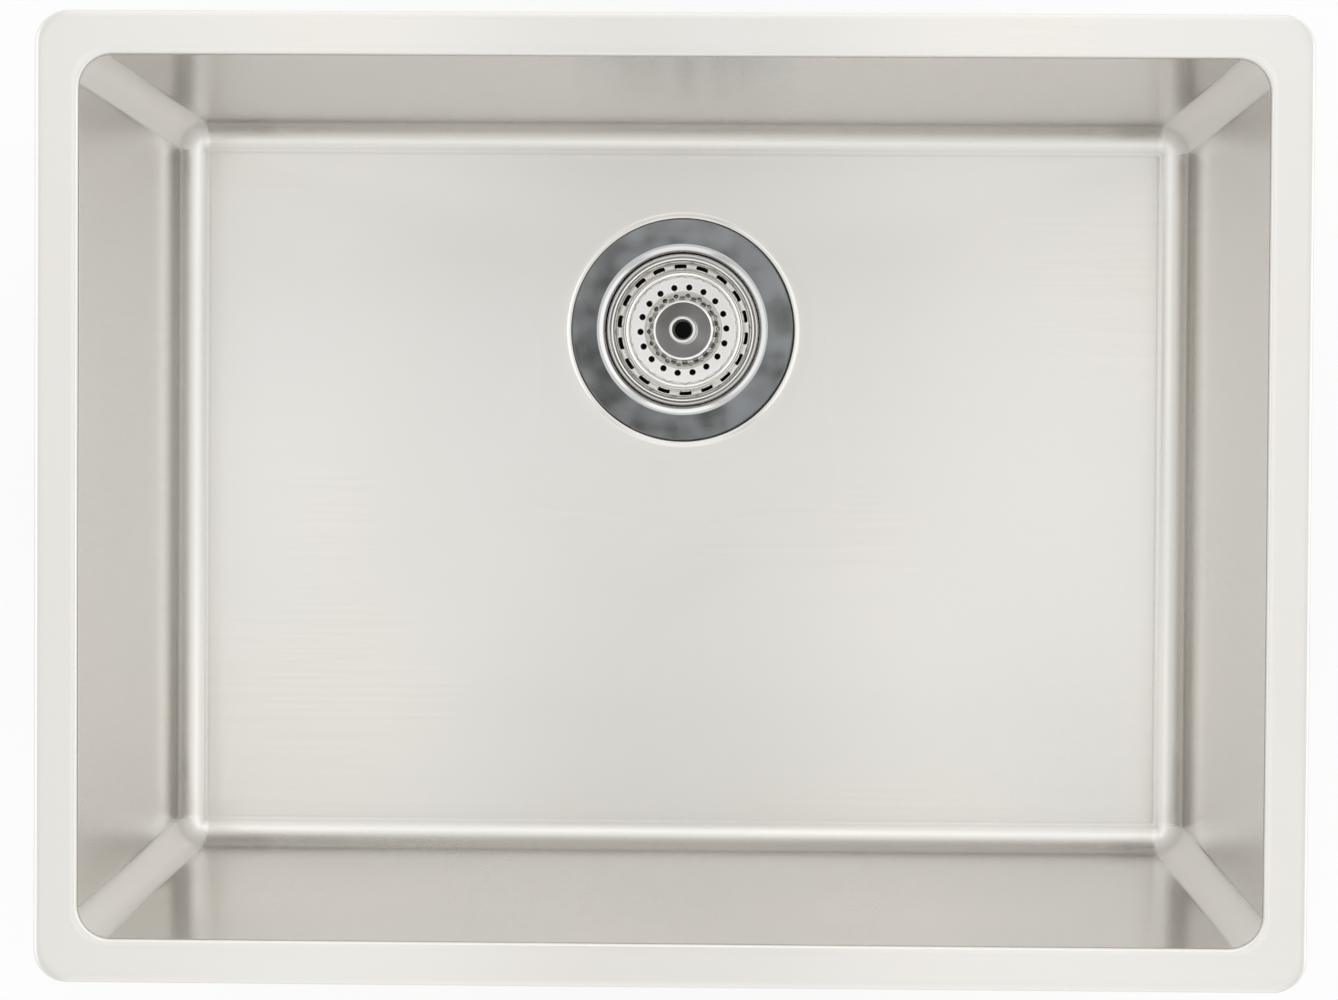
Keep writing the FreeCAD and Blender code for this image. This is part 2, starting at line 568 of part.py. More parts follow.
def build():
    """Every node of the part, by name."""
    outside = bowl_outside()
    pad_near = RECESS_EDGE_RADIUS + FLOOR_PAD_GAP
    pad_far = PANEL_X - FLOOR_PAD_MARGIN
    pad_end = PANEL_Y - FLOOR_PAD_MARGIN
    front_half = pad_near - FLOOR_PAD_GAP
    nodes = {
        "bowl": bowl(outside),
        "pad_front": wall_pad(0, PAD_FRONT_LENGTH, OPENING_WIDTH, FRONT_DRAFT),
        "pad_right": wall_pad(90, PAD_SIDE_LENGTH, OPENING_LENGTH, SIDE_DRAFT),
        "pad_rear": wall_pad(180, PAD_FRONT_LENGTH, OPENING_WIDTH, FRONT_DRAFT),
        "pad_left": wall_pad(270, PAD_SIDE_LENGTH, OPENING_LENGTH, SIDE_DRAFT),
        "pad_floor_left": floor_pad(outside, (-pad_far, -pad_near), (-pad_end, pad_end)),
        "pad_floor_right": floor_pad(outside, (pad_near, pad_far), (-pad_end, pad_end)),
        "pad_floor_front": floor_pad(outside, (-front_half, front_half), (-pad_end, DRAIN_Y - pad_near)),
    }
    strainer = {
        "strainer_body": strainer_body(),
        "flange_gasket": flange_gasket(),
        "bowl_washer": washer(BOWL_WASHER_DEPTH, BOWL_WASHER_THICKNESS),
        "friction_washer": washer(FRICTION_WASHER_DEPTH, FRICTION_WASHER_THICKNESS),
        "lock_nut": lock_nut(),
        "outlet_crossbar": outlet_crossbar(),
        "tailpiece_washer": tailpiece_washer(),
        "tailpiece": tailpiece(),
        "coupling_nut": coupling_nut(),
        "basket_cup": basket_cup(),
        "basket_post": basket_post(),
        "stopper": stopper(),
        "stopper_nut": stopper_nut(),
        "snap_tip": snap_tip(),
    }
    for name, shape in strainer.items():
        nodes[name] = at_drain(shape)
    return nodes


os.makedirs("parts", exist_ok=True)
for node, shape in build().items():
    shape.exportStep("parts/" + node + ".step")
    box = shape.BoundBox
    print(node, "solids", len(shape.Solids), "valid", shape.isValid(), "volume", round(shape.Volume),
          "z", round(box.ZMin, 1), round(box.ZMax, 1))
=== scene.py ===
import math

import bmesh
import bpy
import numpy as np
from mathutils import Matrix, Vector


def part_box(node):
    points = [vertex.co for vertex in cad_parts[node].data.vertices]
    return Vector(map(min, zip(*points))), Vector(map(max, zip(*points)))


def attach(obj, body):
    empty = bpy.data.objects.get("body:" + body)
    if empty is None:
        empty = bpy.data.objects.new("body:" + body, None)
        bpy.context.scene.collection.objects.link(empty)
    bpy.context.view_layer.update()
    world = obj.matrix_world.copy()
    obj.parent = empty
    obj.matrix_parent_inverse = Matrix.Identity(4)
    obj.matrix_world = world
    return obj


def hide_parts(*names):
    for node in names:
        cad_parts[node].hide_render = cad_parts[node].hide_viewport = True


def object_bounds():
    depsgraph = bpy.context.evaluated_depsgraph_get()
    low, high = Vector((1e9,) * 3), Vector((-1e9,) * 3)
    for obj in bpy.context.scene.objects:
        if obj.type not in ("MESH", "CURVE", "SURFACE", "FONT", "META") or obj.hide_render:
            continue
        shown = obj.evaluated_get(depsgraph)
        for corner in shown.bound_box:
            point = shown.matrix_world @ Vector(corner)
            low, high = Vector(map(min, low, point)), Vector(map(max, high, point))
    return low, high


# Undermount utility sink, seen from above: the pressed bowl, its sound pads, the strainer and its basket.
# Metres, in the frame of the solids: +Z up, +Y to the rear wall, origin in the opening on the flange's top.

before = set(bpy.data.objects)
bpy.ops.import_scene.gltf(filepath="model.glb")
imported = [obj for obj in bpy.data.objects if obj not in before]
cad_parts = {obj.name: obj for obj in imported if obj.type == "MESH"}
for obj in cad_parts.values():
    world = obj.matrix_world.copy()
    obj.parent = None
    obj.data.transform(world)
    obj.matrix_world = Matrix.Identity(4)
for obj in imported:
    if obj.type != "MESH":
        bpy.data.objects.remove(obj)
cad_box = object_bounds()

# Places read from the frame
BOWL_LOW, BOWL_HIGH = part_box("bowl")
STRAINER_LOW, STRAINER_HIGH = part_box("strainer_body")
DRAIN_Y = (STRAINER_LOW.y + STRAINER_HIGH.y) / 2
STRAINER_TOP = STRAINER_HIGH.z

# Bowl
SHEET = 0.0015
FLANGE_LIP = 0.020
FLANGE_CORNER = 0.015
FLANGE_EDGE = 0.0004
OPENING_X = BOWL_HIGH.x - FLANGE_LIP
OPENING_Y = BOWL_HIGH.y - FLANGE_LIP
BOWL_DEPTH = 0.254
CORNER = 0.015
COVE = 0.012
RIM_BEND = 0.0017
SIDE_DRAFT = 0.0115
FRONT_DRAFT = 0.0155
FLOOR_MARGIN = 0.002
MARGIN_HOLD = 0.0003
CREASE_DEPTH = 0.00004
CREASE_WIDTH = 0.0026
PANEL_X = OPENING_X - SIDE_DRAFT - COVE - FLOOR_MARGIN
PANEL_Y = OPENING_Y - FRONT_DRAFT - COVE - FLOOR_MARGIN
PANEL_CORNER = 0.001
FALL_POWER = 5
FLUSH_DROP = 0.0001
# How far round the cove the upright grain of the short walls runs
UPRIGHT_END = math.radians(18)
# The soft edges of the hand blending and the painted light in the upright corners: past the start of their
# arcs, below the rim, above the floor
BLEND_EDGE = (0.0008, 0.0023)
BLEND_TOP = (-RIM_BEND / 2, -2 * RIM_BEND)
BLEND_FOOT = (COVE / 16 - BOWL_DEPTH, COVE / 4 - BOWL_DEPTH)
# The two ends of a wall's run, as shares of it
RUN_HOLD = 0.004
RUN_MARGIN = 0.05

# Seat of the strainer in the floor: radii round the drain, and depths
DISH_EDGE = 0.0608
DISH_FOOT = 0.0577
DISH_DROP = 0.00012
GAP_WIDTH = 0.0012
GAP_DEPTH = 0.0014
RECESS_PLAY = (0.0003, -0.0003)
RECESS_LEVEL = BOWL_LOW.z + SHEET
DRAIN_HOLE = 0.045

# Sound pads
PAD_THICKNESS = 0.003
PAD_CORNER = 0.014
PAD_EDGE = 0.0012

# Strainer: radii, depths below its top, and the bends from the flange to the outlet
STRAINER_SHEET = 0.0012
STRAINER_EDGE = 0.0005
FLANGE_RADIUS = (STRAINER_HIGH.x - STRAINER_LOW.x) / 2
THROAT_RADIUS = 0.0434
THROAT_DEPTH = 0.0009
CUP_RADIUS = 0.040
CUP_WALL_DEPTH = 0.026
SEAT_RADIUS = 0.030
SEAT_DEPTH = 0.041
OUTLET_RADIUS = 0.0205
OUTLET_DEPTH = 0.060
STRAINER_BENDS = (0.008, 0.0016, 0.008, 0.002, 0.002)
THREAD_PITCH = 0.002
THREAD_DEPTH = 0.0008
CUP_THREAD_START = 0.007
CUP_THREAD_END = 0.023
CUP_THREAD_HEIGHT = 0.0012
OUTLET_THREAD_RADIUS = 0.0237
OUTLET_THREAD_LENGTH = 0.013

# Seals, nuts and tailpiece
GASKET_BORE = 0.0465
WASHER_BORE = 0.0432
RING_SOFTNESS = 0.3
LUG_COUNT = 8
LUG_HALF_WIDTH = 0.0045
LOCK_NUT_BORE = 0.0425
LOCK_NUT_WALL = 0.007
LOCK_NUT_FLANGE = 0.003
LOCK_NUT_EDGE = 0.0007
TAILPIECE_RADIUS = 0.01905
TAILPIECE_BORE = 0.01805
TAILPIECE_FLANGE = 0.0015
TAILPIECE_NECK = 0.0065
TAILPIECE_RELIEF = 0.0003
TAILPIECE_EDGE = 0.0002
COUPLING_SIDES = 8
COUPLING_BORE = 0.0238
COUPLING_LIP_BORE = 0.01945
COUPLING_LIP = 0.003
COUPLING_WALL = 0.004
COUPLING_CORNER = 0.0016
COUPLING_TRIM = 0.0002
COUPLING_EDGE = 0.0008

# Basket: radii, depths below the strainer's top, and the bends from the rim to the boss
BASKET_SHEET = 0.0008
BASKET_RIM_RADIUS = 0.0396
BASKET_RIM_FOOT = 0.0118
BASKET_RIM_DEPTH = 0.009
BASKET_WALL_RADIUS = 0.0358
BASKET_FOOT_RADIUS = 0.0312
BASKET_FLOOR_DEPTH = 0.0285
BOSS_FOOT_RADIUS = 0.0202
BOSS_FOOT_DEPTH = 0.0301
BOSS_RADIUS = 0.016
BOSS_DEPTH = 0.0218
BOSS_HOLE = 0.0043
BASKET_BENDS = (0.0015, 0.0013, 0.003, 0.0008, 0.0024)
HOLE_COUNT = 18
FIRST_HOLE = math.radians(2.6)
HOLE_RADIUS = 0.0016
HOLE_CIRCLE = 0.0225
HOLE_POWER = 2
WINDOW_HALF_WIDTH = 0.0032
WINDOW_HALF_HEIGHT = 0.0050
WINDOW_PLACE = 0.5
WINDOW_POWER = 5

# Post and stopper: radii, depths below the strainer's top, and the post's bends from its bore to its tip
POST_BORE = 0.0051
POST_BORE_DEPTH = 0.015
STEM_RADIUS = 0.004
STEM_END = 0.0455
SPIGOT_RADIUS = 0.0024
POST_BENDS = (0.0006, 0.0009, 0.0009, 0.0004, 0.0002, 0.0002, 0.0001, 0.0004)
SEAT_PLAY = 0.0001
STOPPER_BORE = 0.0041
STOPPER_HUB = 0.010
STOPPER_FLARE = 0.008
STOPPER_LIP = 0.002
STOPPER_EDGE = 0.0007
STOPPER_NUT_SIDES = 6
STOPPER_NUT_FLAT = 0.0065
STOPPER_NUT_TRIM = 0.0067
STOPPER_NUT_BEVEL = 0.0006

# How finely surfaces are divided
LONG_STEPS = 84
SHORT_STEPS = 64
CORNER_STEPS = 14
FLANGE_EDGE_STEPS = 4
LIP_STEPS = 8
RIM_STEPS = 9
RUN_STEPS = 10
FOOT_STEPS = 19
CREASE_STEPS = 9
PANEL_STEPS = 26
DISH_STEPS = 10
PAD_STEPS = 14
PAD_EDGE_STEPS = 6
TURN_STEPS = 144
BEND_STEPS = 7
STRAINER_BEND_STEPS = 9
SOFT_STEPS = 4
THREAD_STEPS = 8
LUG_STEPS = 32
COUPLING_STEPS = 24
STOPPER_NUT_STEPS = 16
SECTOR_STEPS = 12
PIERCED_RINGS = 6
PIERCED_POWER = 1.3
SHARP_ANGLE = math.radians(38)
HOLD = 0.0001
WELD = 1e-6


# Meshes

def ease(share):
    """Smooth step: three times the square less twice the cube."""
    return share * share * (3 - 2 * share)


def unit(vector):
    """A vector divided by its length."""
    return vector / np.linalg.norm(vector, axis=-1, keepdims=True)


def patch(points, uv, close_rows=False, across=False):
    """A grid of points with a UV for every grid corner. Its last column joins its first, and so does its
    last row if the rows close. A closed direction's UV grid has one line more. U and V change places in the
    quads that are across."""
    return points, uv, close_rows, np.broadcast_to(across, points.shape[:2])


def grid_corners(rows, columns, close_rows):
    """Row and column numbers of the four corners of each quad of a grid."""
    row, column = np.meshgrid(np.arange(rows - 1 + close_rows), np.arange(columns), indexing="ij")
    corner_rows = np.stack([row, row, row + 1, row + 1], axis=-1).reshape(-1, 4)
    corner_columns = np.stack([column, column + 1, column + 1, column], axis=-1).reshape(-1, 4)
    return corner_rows, corner_columns


def mesh_of(name, patches, closed=True):
    """One mesh of several grids, welded where their borders meet. A closed shell gets its faces turned
    outwards."""
    points = []
    corners = []
    uvs = []
    count = 0
    for grid, uv, close_rows, across in patches:
        rows, columns = grid.shape[:2]
        corner_rows, corner_columns = grid_corners(rows, columns, close_rows)
        points.append(grid.reshape(-1, 3))
        corners.append(count + (corner_rows % rows) * columns + corner_columns % columns)
        face_uv = uv[corner_rows, corner_columns]
        turned = across[corner_rows[:, 0], corner_columns[:, 0], None, None]
        face_uv = np.where(turned, face_uv[..., ::-1], face_uv)
        uvs.append(face_uv.reshape(-1, 2))
        count += rows * columns
    points = np.concatenate(points)
    corners = np.concatenate(corners)
    mesh = bpy.data.meshes.new(name)
    mesh.vertices.add(len(points))
    mesh.vertices.foreach_set("co", points.ravel())
    mesh.loops.add(corners.size)
    mesh.loops.foreach_set("vertex_index", corners.ravel())
    mesh.polygons.add(len(corners))
    mesh.polygons.foreach_set("loop_start", np.arange(0, corners.size, 4))
    mesh.update(calc_edges=True)
    mesh.uv_layers.new(name="grain").uv.foreach_set("vector", np.concatenate(uvs).ravel())
    work = bmesh.new()
    work.from_mesh(mesh)
    bmesh.ops.remove_doubles(work, verts=work.verts, dist=WELD)
    if closed:
        bmesh.ops.recalc_face_normals(work, faces=work.faces)
    work.to_mesh(mesh)
    work.free()
    return mesh


def linked(name, data):
    """A new object in the scene."""
    made = bpy.data.objects.new(name, data)
    bpy.context.scene.collection.objects.link(made)
    return made


def add_piece(name, patches, body, slot, node, closed=True):
    """A piece of several grids with the finish of its slot, which rides on a body and stands for a node."""
    mesh = mesh_of(name, patches, closed)
    mesh.materials.append(finishes[slot])
    mesh.polygons.foreach_set("use_smooth", np.ones(len(mesh.polygons), bool))
    mesh.set_sharp_from_angle(angle=SHARP_ANGLE)
    piece = linked(name, mesh)
    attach(piece, body)
    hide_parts(node)
    return piece


# Bowl

def loop_columns():
    """Columns round a rectangle with round corners, anticlockwise: how far the column's corner centre lies
    along X and Y, from -1 to 1, and the direction of its arc. The second half is the first one turned."""
    quarter = np.linspace(0, math.pi / 2, CORNER_STEPS + 1)
    along_x = np.linspace(1, -1, LONG_STEPS + 1)[1:-1]
    along_y = np.linspace(1, -1, SHORT_STEPS + 1)[1:-1]
    one = np.ones_like(quarter)
    side_x = np.concatenate([one, along_x, -one, -np.ones_like(along_y)])
    side_y = np.concatenate([one, np.ones_like(along_x), one, along_y])
    turn = np.concatenate([quarter, np.full_like(along_x, math.pi / 2), math.pi / 2 + quarter,
                           np.full_like(along_y, math.pi)])
    return np.append(side_x, -side_x), np.append(side_y, -side_y), np.append(turn, turn + math.pi)


SIDE_X, SIDE_Y, TURN = loop_columns()
SHORT_WALL = np.abs(np.cos(TURN)) > 1 - WELD


def loops(half_x, half_y, radius, level):
    """Level loops, one for each value of the four arrays: the middle of each column's corner arc plus its
    radius in the column's direction."""
    half_x, half_y, radius, level = [np.asarray(a, float)[:, None] for a in (half_x, half_y, radius, level)]
    x = (half_x - radius) * SIDE_X + radius * np.cos(TURN)
    y = (half_y - radius) * SIDE_Y + radius * np.sin(TURN)
    return np.stack([x, y, np.broadcast_to(level, x.shape)], axis=-1)


def wall_loops(inset, depth):
    """Loops that stand in from the leaning walls by an inset, at a depth."""
    lean = np.minimum(depth, BOWL_DEPTH) / BOWL_DEPTH
    return loops(OPENING_X - SIDE_DRAFT * lean - inset, OPENING_Y - FRONT_DRAFT * lean - inset,
                 CORNER - inset, -depth)


def flat_uv(points):
    """UV of a level patch: its X and Y, so that the grain runs along X."""
    uv = points[..., :2]
    return np.concatenate([uv, uv[:, :1]], axis=1)


def lengths(line):
    """The way along a line from its first point to each of its points."""
    return np.cumsum(np.linalg.norm(np.diff(line, axis=0, prepend=line[:1]), axis=1))


def way_uv(around, along):
    """UV of a grid: the way round it and the way along it."""
    return np.stack(np.broadcast_arrays(around, along[:, None]), axis=-1)


def wall_uv(points):
    """UV of a wall: the way round it at its middle row, and the way down it."""
    closed = np.concatenate([points, points[:, :1]], axis=1)
    return way_uv(lengths(closed[len(closed) // 2]), lengths(closed[:, 0]))


def flange_patch(skin):
    """The flange's top, or its underside for a skin of the sheet's thickness, from the middle of its edge to
    the start of the rim's bend: loops whose corner radius changes from the flange's to the rim's."""
    arc = np.linspace(0, math.pi / 2, FLANGE_EDGE_STEPS)
    sign = 1 if skin == 0 else -1
    corner = FLANGE_EDGE * (1 - np.cos(arc)) - FLANGE_LIP
    corner_depth = skin + sign * FLANGE_EDGE * (1 - np.sin(arc))
    run = np.linspace(corner[-1], -RIM_BEND, LIP_STEPS)[1:]
    inset = np.concatenate([[-FLANGE_LIP], corner, run])
    depth = np.concatenate([[SHEET / 2], corner_depth, np.full_like(run, skin)])
    share = (inset + FLANGE_LIP) / (FLANGE_LIP - RIM_BEND)
    radius = FLANGE_CORNER + share * (CORNER + RIM_BEND - FLANGE_CORNER)
    points = loops(OPENING_X - inset, OPENING_Y - inset, radius, -depth)
    return patch(points, flat_uv(points))


def wall_patch(skin):
    """The inside of the walls, or their outside for a skin: a quarter bend at the rim, the leaning run and
    the quarter bend of the cove. The sheet's grain runs upright on the short walls, down to the upper part of
    the cove, and level elsewhere."""
    rim = np.linspace(0, math.pi / 2, RIM_STEPS)
    rim_inset = -RIM_BEND + (RIM_BEND - skin) * np.sin(rim)
    rim_depth = RIM_BEND - (RIM_BEND - skin) * np.cos(rim)
    shares = np.concatenate([[RUN_HOLD], np.linspace(RUN_MARGIN, 1 - RUN_MARGIN, RUN_STEPS), [1 - RUN_HOLD]])
    run_depth = RIM_BEND + shares * (BOWL_DEPTH - COVE - RIM_BEND)
    foot = np.linspace(0, math.pi / 2, FOOT_STEPS)
    foot_inset = COVE - (COVE + skin) * np.cos(foot)
    foot_depth = BOWL_DEPTH - COVE + (COVE + skin) * np.sin(foot)
    inset = np.concatenate([rim_inset, np.full_like(run_depth, -skin), foot_inset])
    depth = np.concatenate([rim_depth, run_depth, foot_depth])
    points = wall_loops(inset, depth)
    upright = depth < BOWL_DEPTH - COVE * (1 - math.sin(UPRIGHT_END))
    return patch(points, wall_uv(points), across=upright[:, None] & SHORT_WALL & np.roll(SHORT_WALL, -1))


def floor_level(x, y):
    """Level of the floor: a fall that grows with the way in from the nearest edges of the panel, as the
    smooth least of the four shares of the way to a square round the drain."""
    square = DISH_FOOT / math.sqrt(2)
    shares = np.stack([(PANEL_X - x) / (PANEL_X - square), (PANEL_X + x) / (PANEL_X - square),
                       (PANEL_Y - y) / (PANEL_Y - DRAIN_Y - square),
                       (PANEL_Y + y) / (PANEL_Y + DRAIN_Y - square)])
    share = (np.maximum(shares, WELD) ** -FALL_POWER).sum(axis=0) ** (-1 / FALL_POWER)
    fall = -BOWL_DEPTH - STRAINER_TOP - FLUSH_DROP
    return -BOWL_DEPTH - fall * np.minimum(share, 1)


def floor_patch(skin):
    """The floor, or its underside for a skin: the level margin, a shallow crease, the panel from its edge
    to the recess along lines that meet at the drain, the shallow dish round the strainer's flange, which sits
    with a little play, and the recess under it."""
    margin = np.array([0, MARGIN_HOLD])
    crease = FLOOR_MARGIN + np.linspace(-CREASE_WIDTH / 2, CREASE_WIDTH / 2, CREASE_STEPS)
    inset = COVE + np.concatenate([margin, crease])
    depth = np.full_like(inset, BOWL_DEPTH)
    depth[len(margin):] += CREASE_DEPTH * np.cos(np.linspace(-math.pi / 2, math.pi / 2, CREASE_STEPS)) ** 2
    radius = np.maximum(CORNER - inset, PANEL_CORNER)
    border = loops(OPENING_X - SIDE_DRAFT - inset, OPENING_Y - FRONT_DRAFT - inset, radius, -depth)

    middle = np.array([0, DRAIN_Y]) + RECESS_PLAY
    start = border[-1, :, :2]
    outwards = unit(start - middle)
    end = middle + DISH_EDGE * outwards
    share = np.linspace(0, 1, PANEL_STEPS)[1:, None, None]
    panel = start + share * (end - start)
    panel = np.concatenate([panel, floor_level(panel[..., 0], panel[..., 1])[..., None]], axis=-1)

    dish = np.linspace(0, 1, DISH_STEPS)[1:]
    radius = np.concatenate([DISH_EDGE + (DISH_FOOT - DISH_EDGE) * dish,
                             [DISH_FOOT - HOLD, DISH_FOOT - GAP_WIDTH, DRAIN_HOLE + HOLD, DRAIN_HOLE]])
    rim = STRAINER_TOP - DISH_DROP
    rows = panel[-1, :, 2] + ease(dish)[:, None] * (rim - panel[-1, :, 2])
    lower = np.array([STRAINER_TOP - GAP_DEPTH, RECESS_LEVEL, RECESS_LEVEL, RECESS_LEVEL])
    level = np.concatenate([rows, np.broadcast_to(lower[:, None], (len(lower), rows.shape[1]))])
    recess = np.concatenate([middle + radius[:, None, None] * outwards, level[..., None]], axis=-1)
    points = np.concatenate([border, panel, recess])
    points[..., 2] -= skin
    return patch(points, flat_uv(points))


def add_bowl():
    """The bowl: the two sides of one sheet, joined at the flange's edge and by the drain hole's cut edge."""
    floor = floor_patch(0)
    underside = floor_patch(SHEET)
    cut = np.stack([floor[0][-1], underside[0][-1]])
    patches = [flange_patch(0), wall_patch(0), floor, patch(cut, flat_uv(cut)), underside, wall_patch(SHEET),
               flange_patch(SHEET)]
    add_piece("pressed_bowl", patches, "sink", "bowl_steel", "bowl")


# Sound pads

def pad_shell(half_x, half_y):
    """A pad in its own frame, on the plane Z = 0: loops that grow from its middle to the edge of its back, go
    round the soft edge and shrink over its face to its middle."""
    arc = np.linspace(0, math.pi / 2, PAD_EDGE_STEPS)
    inset = np.concatenate([[0], PAD_EDGE * (1 - np.cos(arc))])
    level = np.concatenate([[0], PAD_THICKNESS - PAD_EDGE * (1 - np.sin(arc))])
    edge = loops(half_x - inset, half_y - inset, PAD_CORNER - inset, level)
    share = np.linspace(0, 1, PAD_STEPS, endpoint=False)[:, None, None] * (1, 1, 0) + (0, 0, 1)
    return np.concatenate([edge[0] * share, edge, edge[-1] * share[::-1]])


def add_wall_pad(node, quarter):
    """A pad on the outside of a leaning wall, a number of quarter turns from the front, as high and as long
    as its node."""
    low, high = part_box(node)
    sideways = quarter % 2 == 1
    turn = quarter * math.pi / 2
    half_length = (high.y - low.y if sideways else high.x - low.x) / 2
    draft = SIDE_DRAFT if sideways else FRONT_DRAFT
    reach = OPENING_X if sideways else OPENING_Y
    lean = math.atan(draft / BOWL_DEPTH)
    height = high.z - low.z - PAD_THICKNESS * math.sin(lean)
    shell = pad_shell(half_length, height / 2 / math.cos(lean))
    out = np.array([0, -math.cos(lean), -math.sin(lean)])
    up = np.array([0, -math.sin(lean), math.cos(lean)])
    along = np.array([1, 0, 0])
    foot = np.array([0, -(reach - draft / 2 + SHEET / math.cos(lean)), -BOWL_DEPTH / 2])
    points = foot + shell[..., :1] * along + shell[..., 1:2] * up + shell[..., 2:] * out
    spin = np.array([[math.cos(turn), -math.sin(turn), 0], [math.sin(turn), math.cos(turn), 0], [0, 0, 1]])
    add_piece(node + "_rubber", [patch(points @ spin.T, flat_uv(shell))], "sink", "pad_rubber", node)


def add_floor_pad(node):
    """A pad under the floor, in the outline of its node, which follows the floor's underside."""
    low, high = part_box(node)
    shell = pad_shell((high.x - low.x) / 2, (high.y - low.y) / 2)
    points = shell.copy()
    points[..., 0] += (high.x + low.x) / 2
    points[..., 1] += (high.y + low.y) / 2
    points[..., 2] = floor_level(points[..., 0], points[..., 1]) - SHEET - shell[..., 2]
    add_piece(node + "_rubber", [patch(points, flat_uv(shell))], "sink", "pad_rubber", node)


def add_pads():
    """Four wall pads and three floor pads."""
    for quarter, node in enumerate(("pad_front", "pad_right", "pad_rear", "pad_left")):
        add_wall_pad(node, quarter)
    for node in ("pad_floor_left", "pad_floor_right", "pad_floor_front"):
        add_floor_pad(node)


# Turned pieces

def bent_line(corners, bends, steps=BEND_STEPS):
    """A line through corners, radius and depth, with an arc at each inner corner that touches both runs. A
    point just past each end of an arc keeps the straight runs flat."""
    corners = np.array(corners, float)
    runs = [corners[:1]]
    for before, corner, after, bend in zip(corners, corners[1:], corners[2:], bends):
        back = unit(before - corner)
        ahead = unit(after - corner)
        half = math.acos(np.clip(back @ ahead, -1, 1)) / 2
        centre = corner + unit(back + ahead) * bend / math.sin(half)
        run = bend / math.tan(half)
        start = corner + back * run - centre
        end = corner + ahead * run - centre
        sweep = math.pi - 2 * half
        share = np.linspace(0, 1, steps)[:, None]
        arc = (np.sin((1 - share) * sweep) * start + np.sin(share * sweep) * end) / math.sin(sweep)
        held = corner + np.stack([back, ahead]) * (run + HOLD)
        runs += [held[:1], centre + arc, held[1:]]
    runs.append(corners[-1:])
    return np.concatenate(runs)


def sheet_back(line, thickness):
    """The far side of a sheet on the left of a line that runs inwards."""
    run = unit(np.diff(line, axis=0))
    run = np.concatenate([run[:1], run, run[-1:]])
    normal = np.stack([run[:, 1], -run[:, 0]], axis=-1)
    mitre = normal[:-1] + normal[1:]
    return line + thickness * 2 * mitre / (mitre * mitre).sum(axis=1, keepdims=True)


def placed(radius, angles, depth):
    """Points at radii, angles and depths round the drain's axis: the radius times the cosine and the sine of
    the angle, and the strainer's top less the depth."""
    x = radius * np.cos(angles)
    y = DRAIN_Y + radius * np.sin(angles)
    return np.stack([x, y, np.broadcast_to(STRAINER_TOP - depth, x.shape)], axis=-1)


def turned_grid(section, angles):
    """A section of radii and depths turned about the drain's axis."""
    return placed(section[:, :1], angles, section[:, 1:])


def turned_uv(section, angles, close_rows):
    """UV of a turned piece: the way round it and the way along its section."""
    around = np.append(angles, angles[0] + 2 * math.pi) * np.abs(section[:, 0]).max()
    if close_rows:
        section = np.append(section, section[:1], axis=0)
    return way_uv(around, lengths(section))


def full_turn(steps):
    """Angles of equal steps round a full turn."""
    return np.linspace(0, 2 * math.pi, steps, endpoint=False)


ROUND = full_turn(TURN_STEPS)


def softened(corners, bevel):
    """A closed section whose corners are all rounded by one small radius."""
    ring = corners[-1:] + corners + corners[:1]
    return bent_line(ring, [bevel] * len(corners), SOFT_STEPS)[1:-1]


def add_turned(name, section, body, slot, node):
    """A closed section turned about the drain's axis, which stands for a node."""
    shell = patch(turned_grid(section, ROUND), turned_uv(section, ROUND, True), close_rows=True)
    add_piece(name, [shell], body, slot, node)


def add_ring(name, rows, angles, body, slot, node):
    """A closed ring that stands for a node. Its rows give a depth and a radius for every angle."""
    radius = np.stack([np.broadcast_to(r, angles.shape) for r, depth in rows])
    depth = np.array([depth for r, depth in rows])
    section = np.stack([radius.max(axis=1), depth], axis=-1)
    shell = patch(placed(radius, angles, depth[:, None]), turned_uv(section, angles, True), close_rows=True)
    add_piece(name, [shell], body, slot, node)


def polygon_radius(angles, sides, flat):
    """Radius of a regular outline with flats at one distance: that distance over the cosine of the angle
    from the middle of the flat."""
    sector = 2 * math.pi / sides
    return flat / np.cos((angles % sector) - sector / 2)


def depth_of(node):
    """Depths of a node's top and bottom below the strainer's top, and its outer radius."""
    low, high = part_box(node)
    return STRAINER_TOP - high.z, STRAINER_TOP - low.z, (high.x - low.x) / 2


# Strainer

def thread_grid(radius, start, end):
    """The outside of a screw thread, downwards: the radius less a triangle wave of the depth and the angle,
    which fades out at both ends."""
    rows = int((end - start) / THREAD_PITCH * THREAD_STEPS) + 1
    depth = np.linspace(start, end, rows)[:, None]
    phase = (depth / THREAD_PITCH + ROUND / (2 * math.pi)) % 1
    wave = np.abs(2 * phase - 1)
    fade = np.clip(np.minimum(depth - start, end - depth) / THREAD_PITCH, 0, 1)
    return placed(radius - THREAD_DEPTH * wave * fade, ROUND, depth)


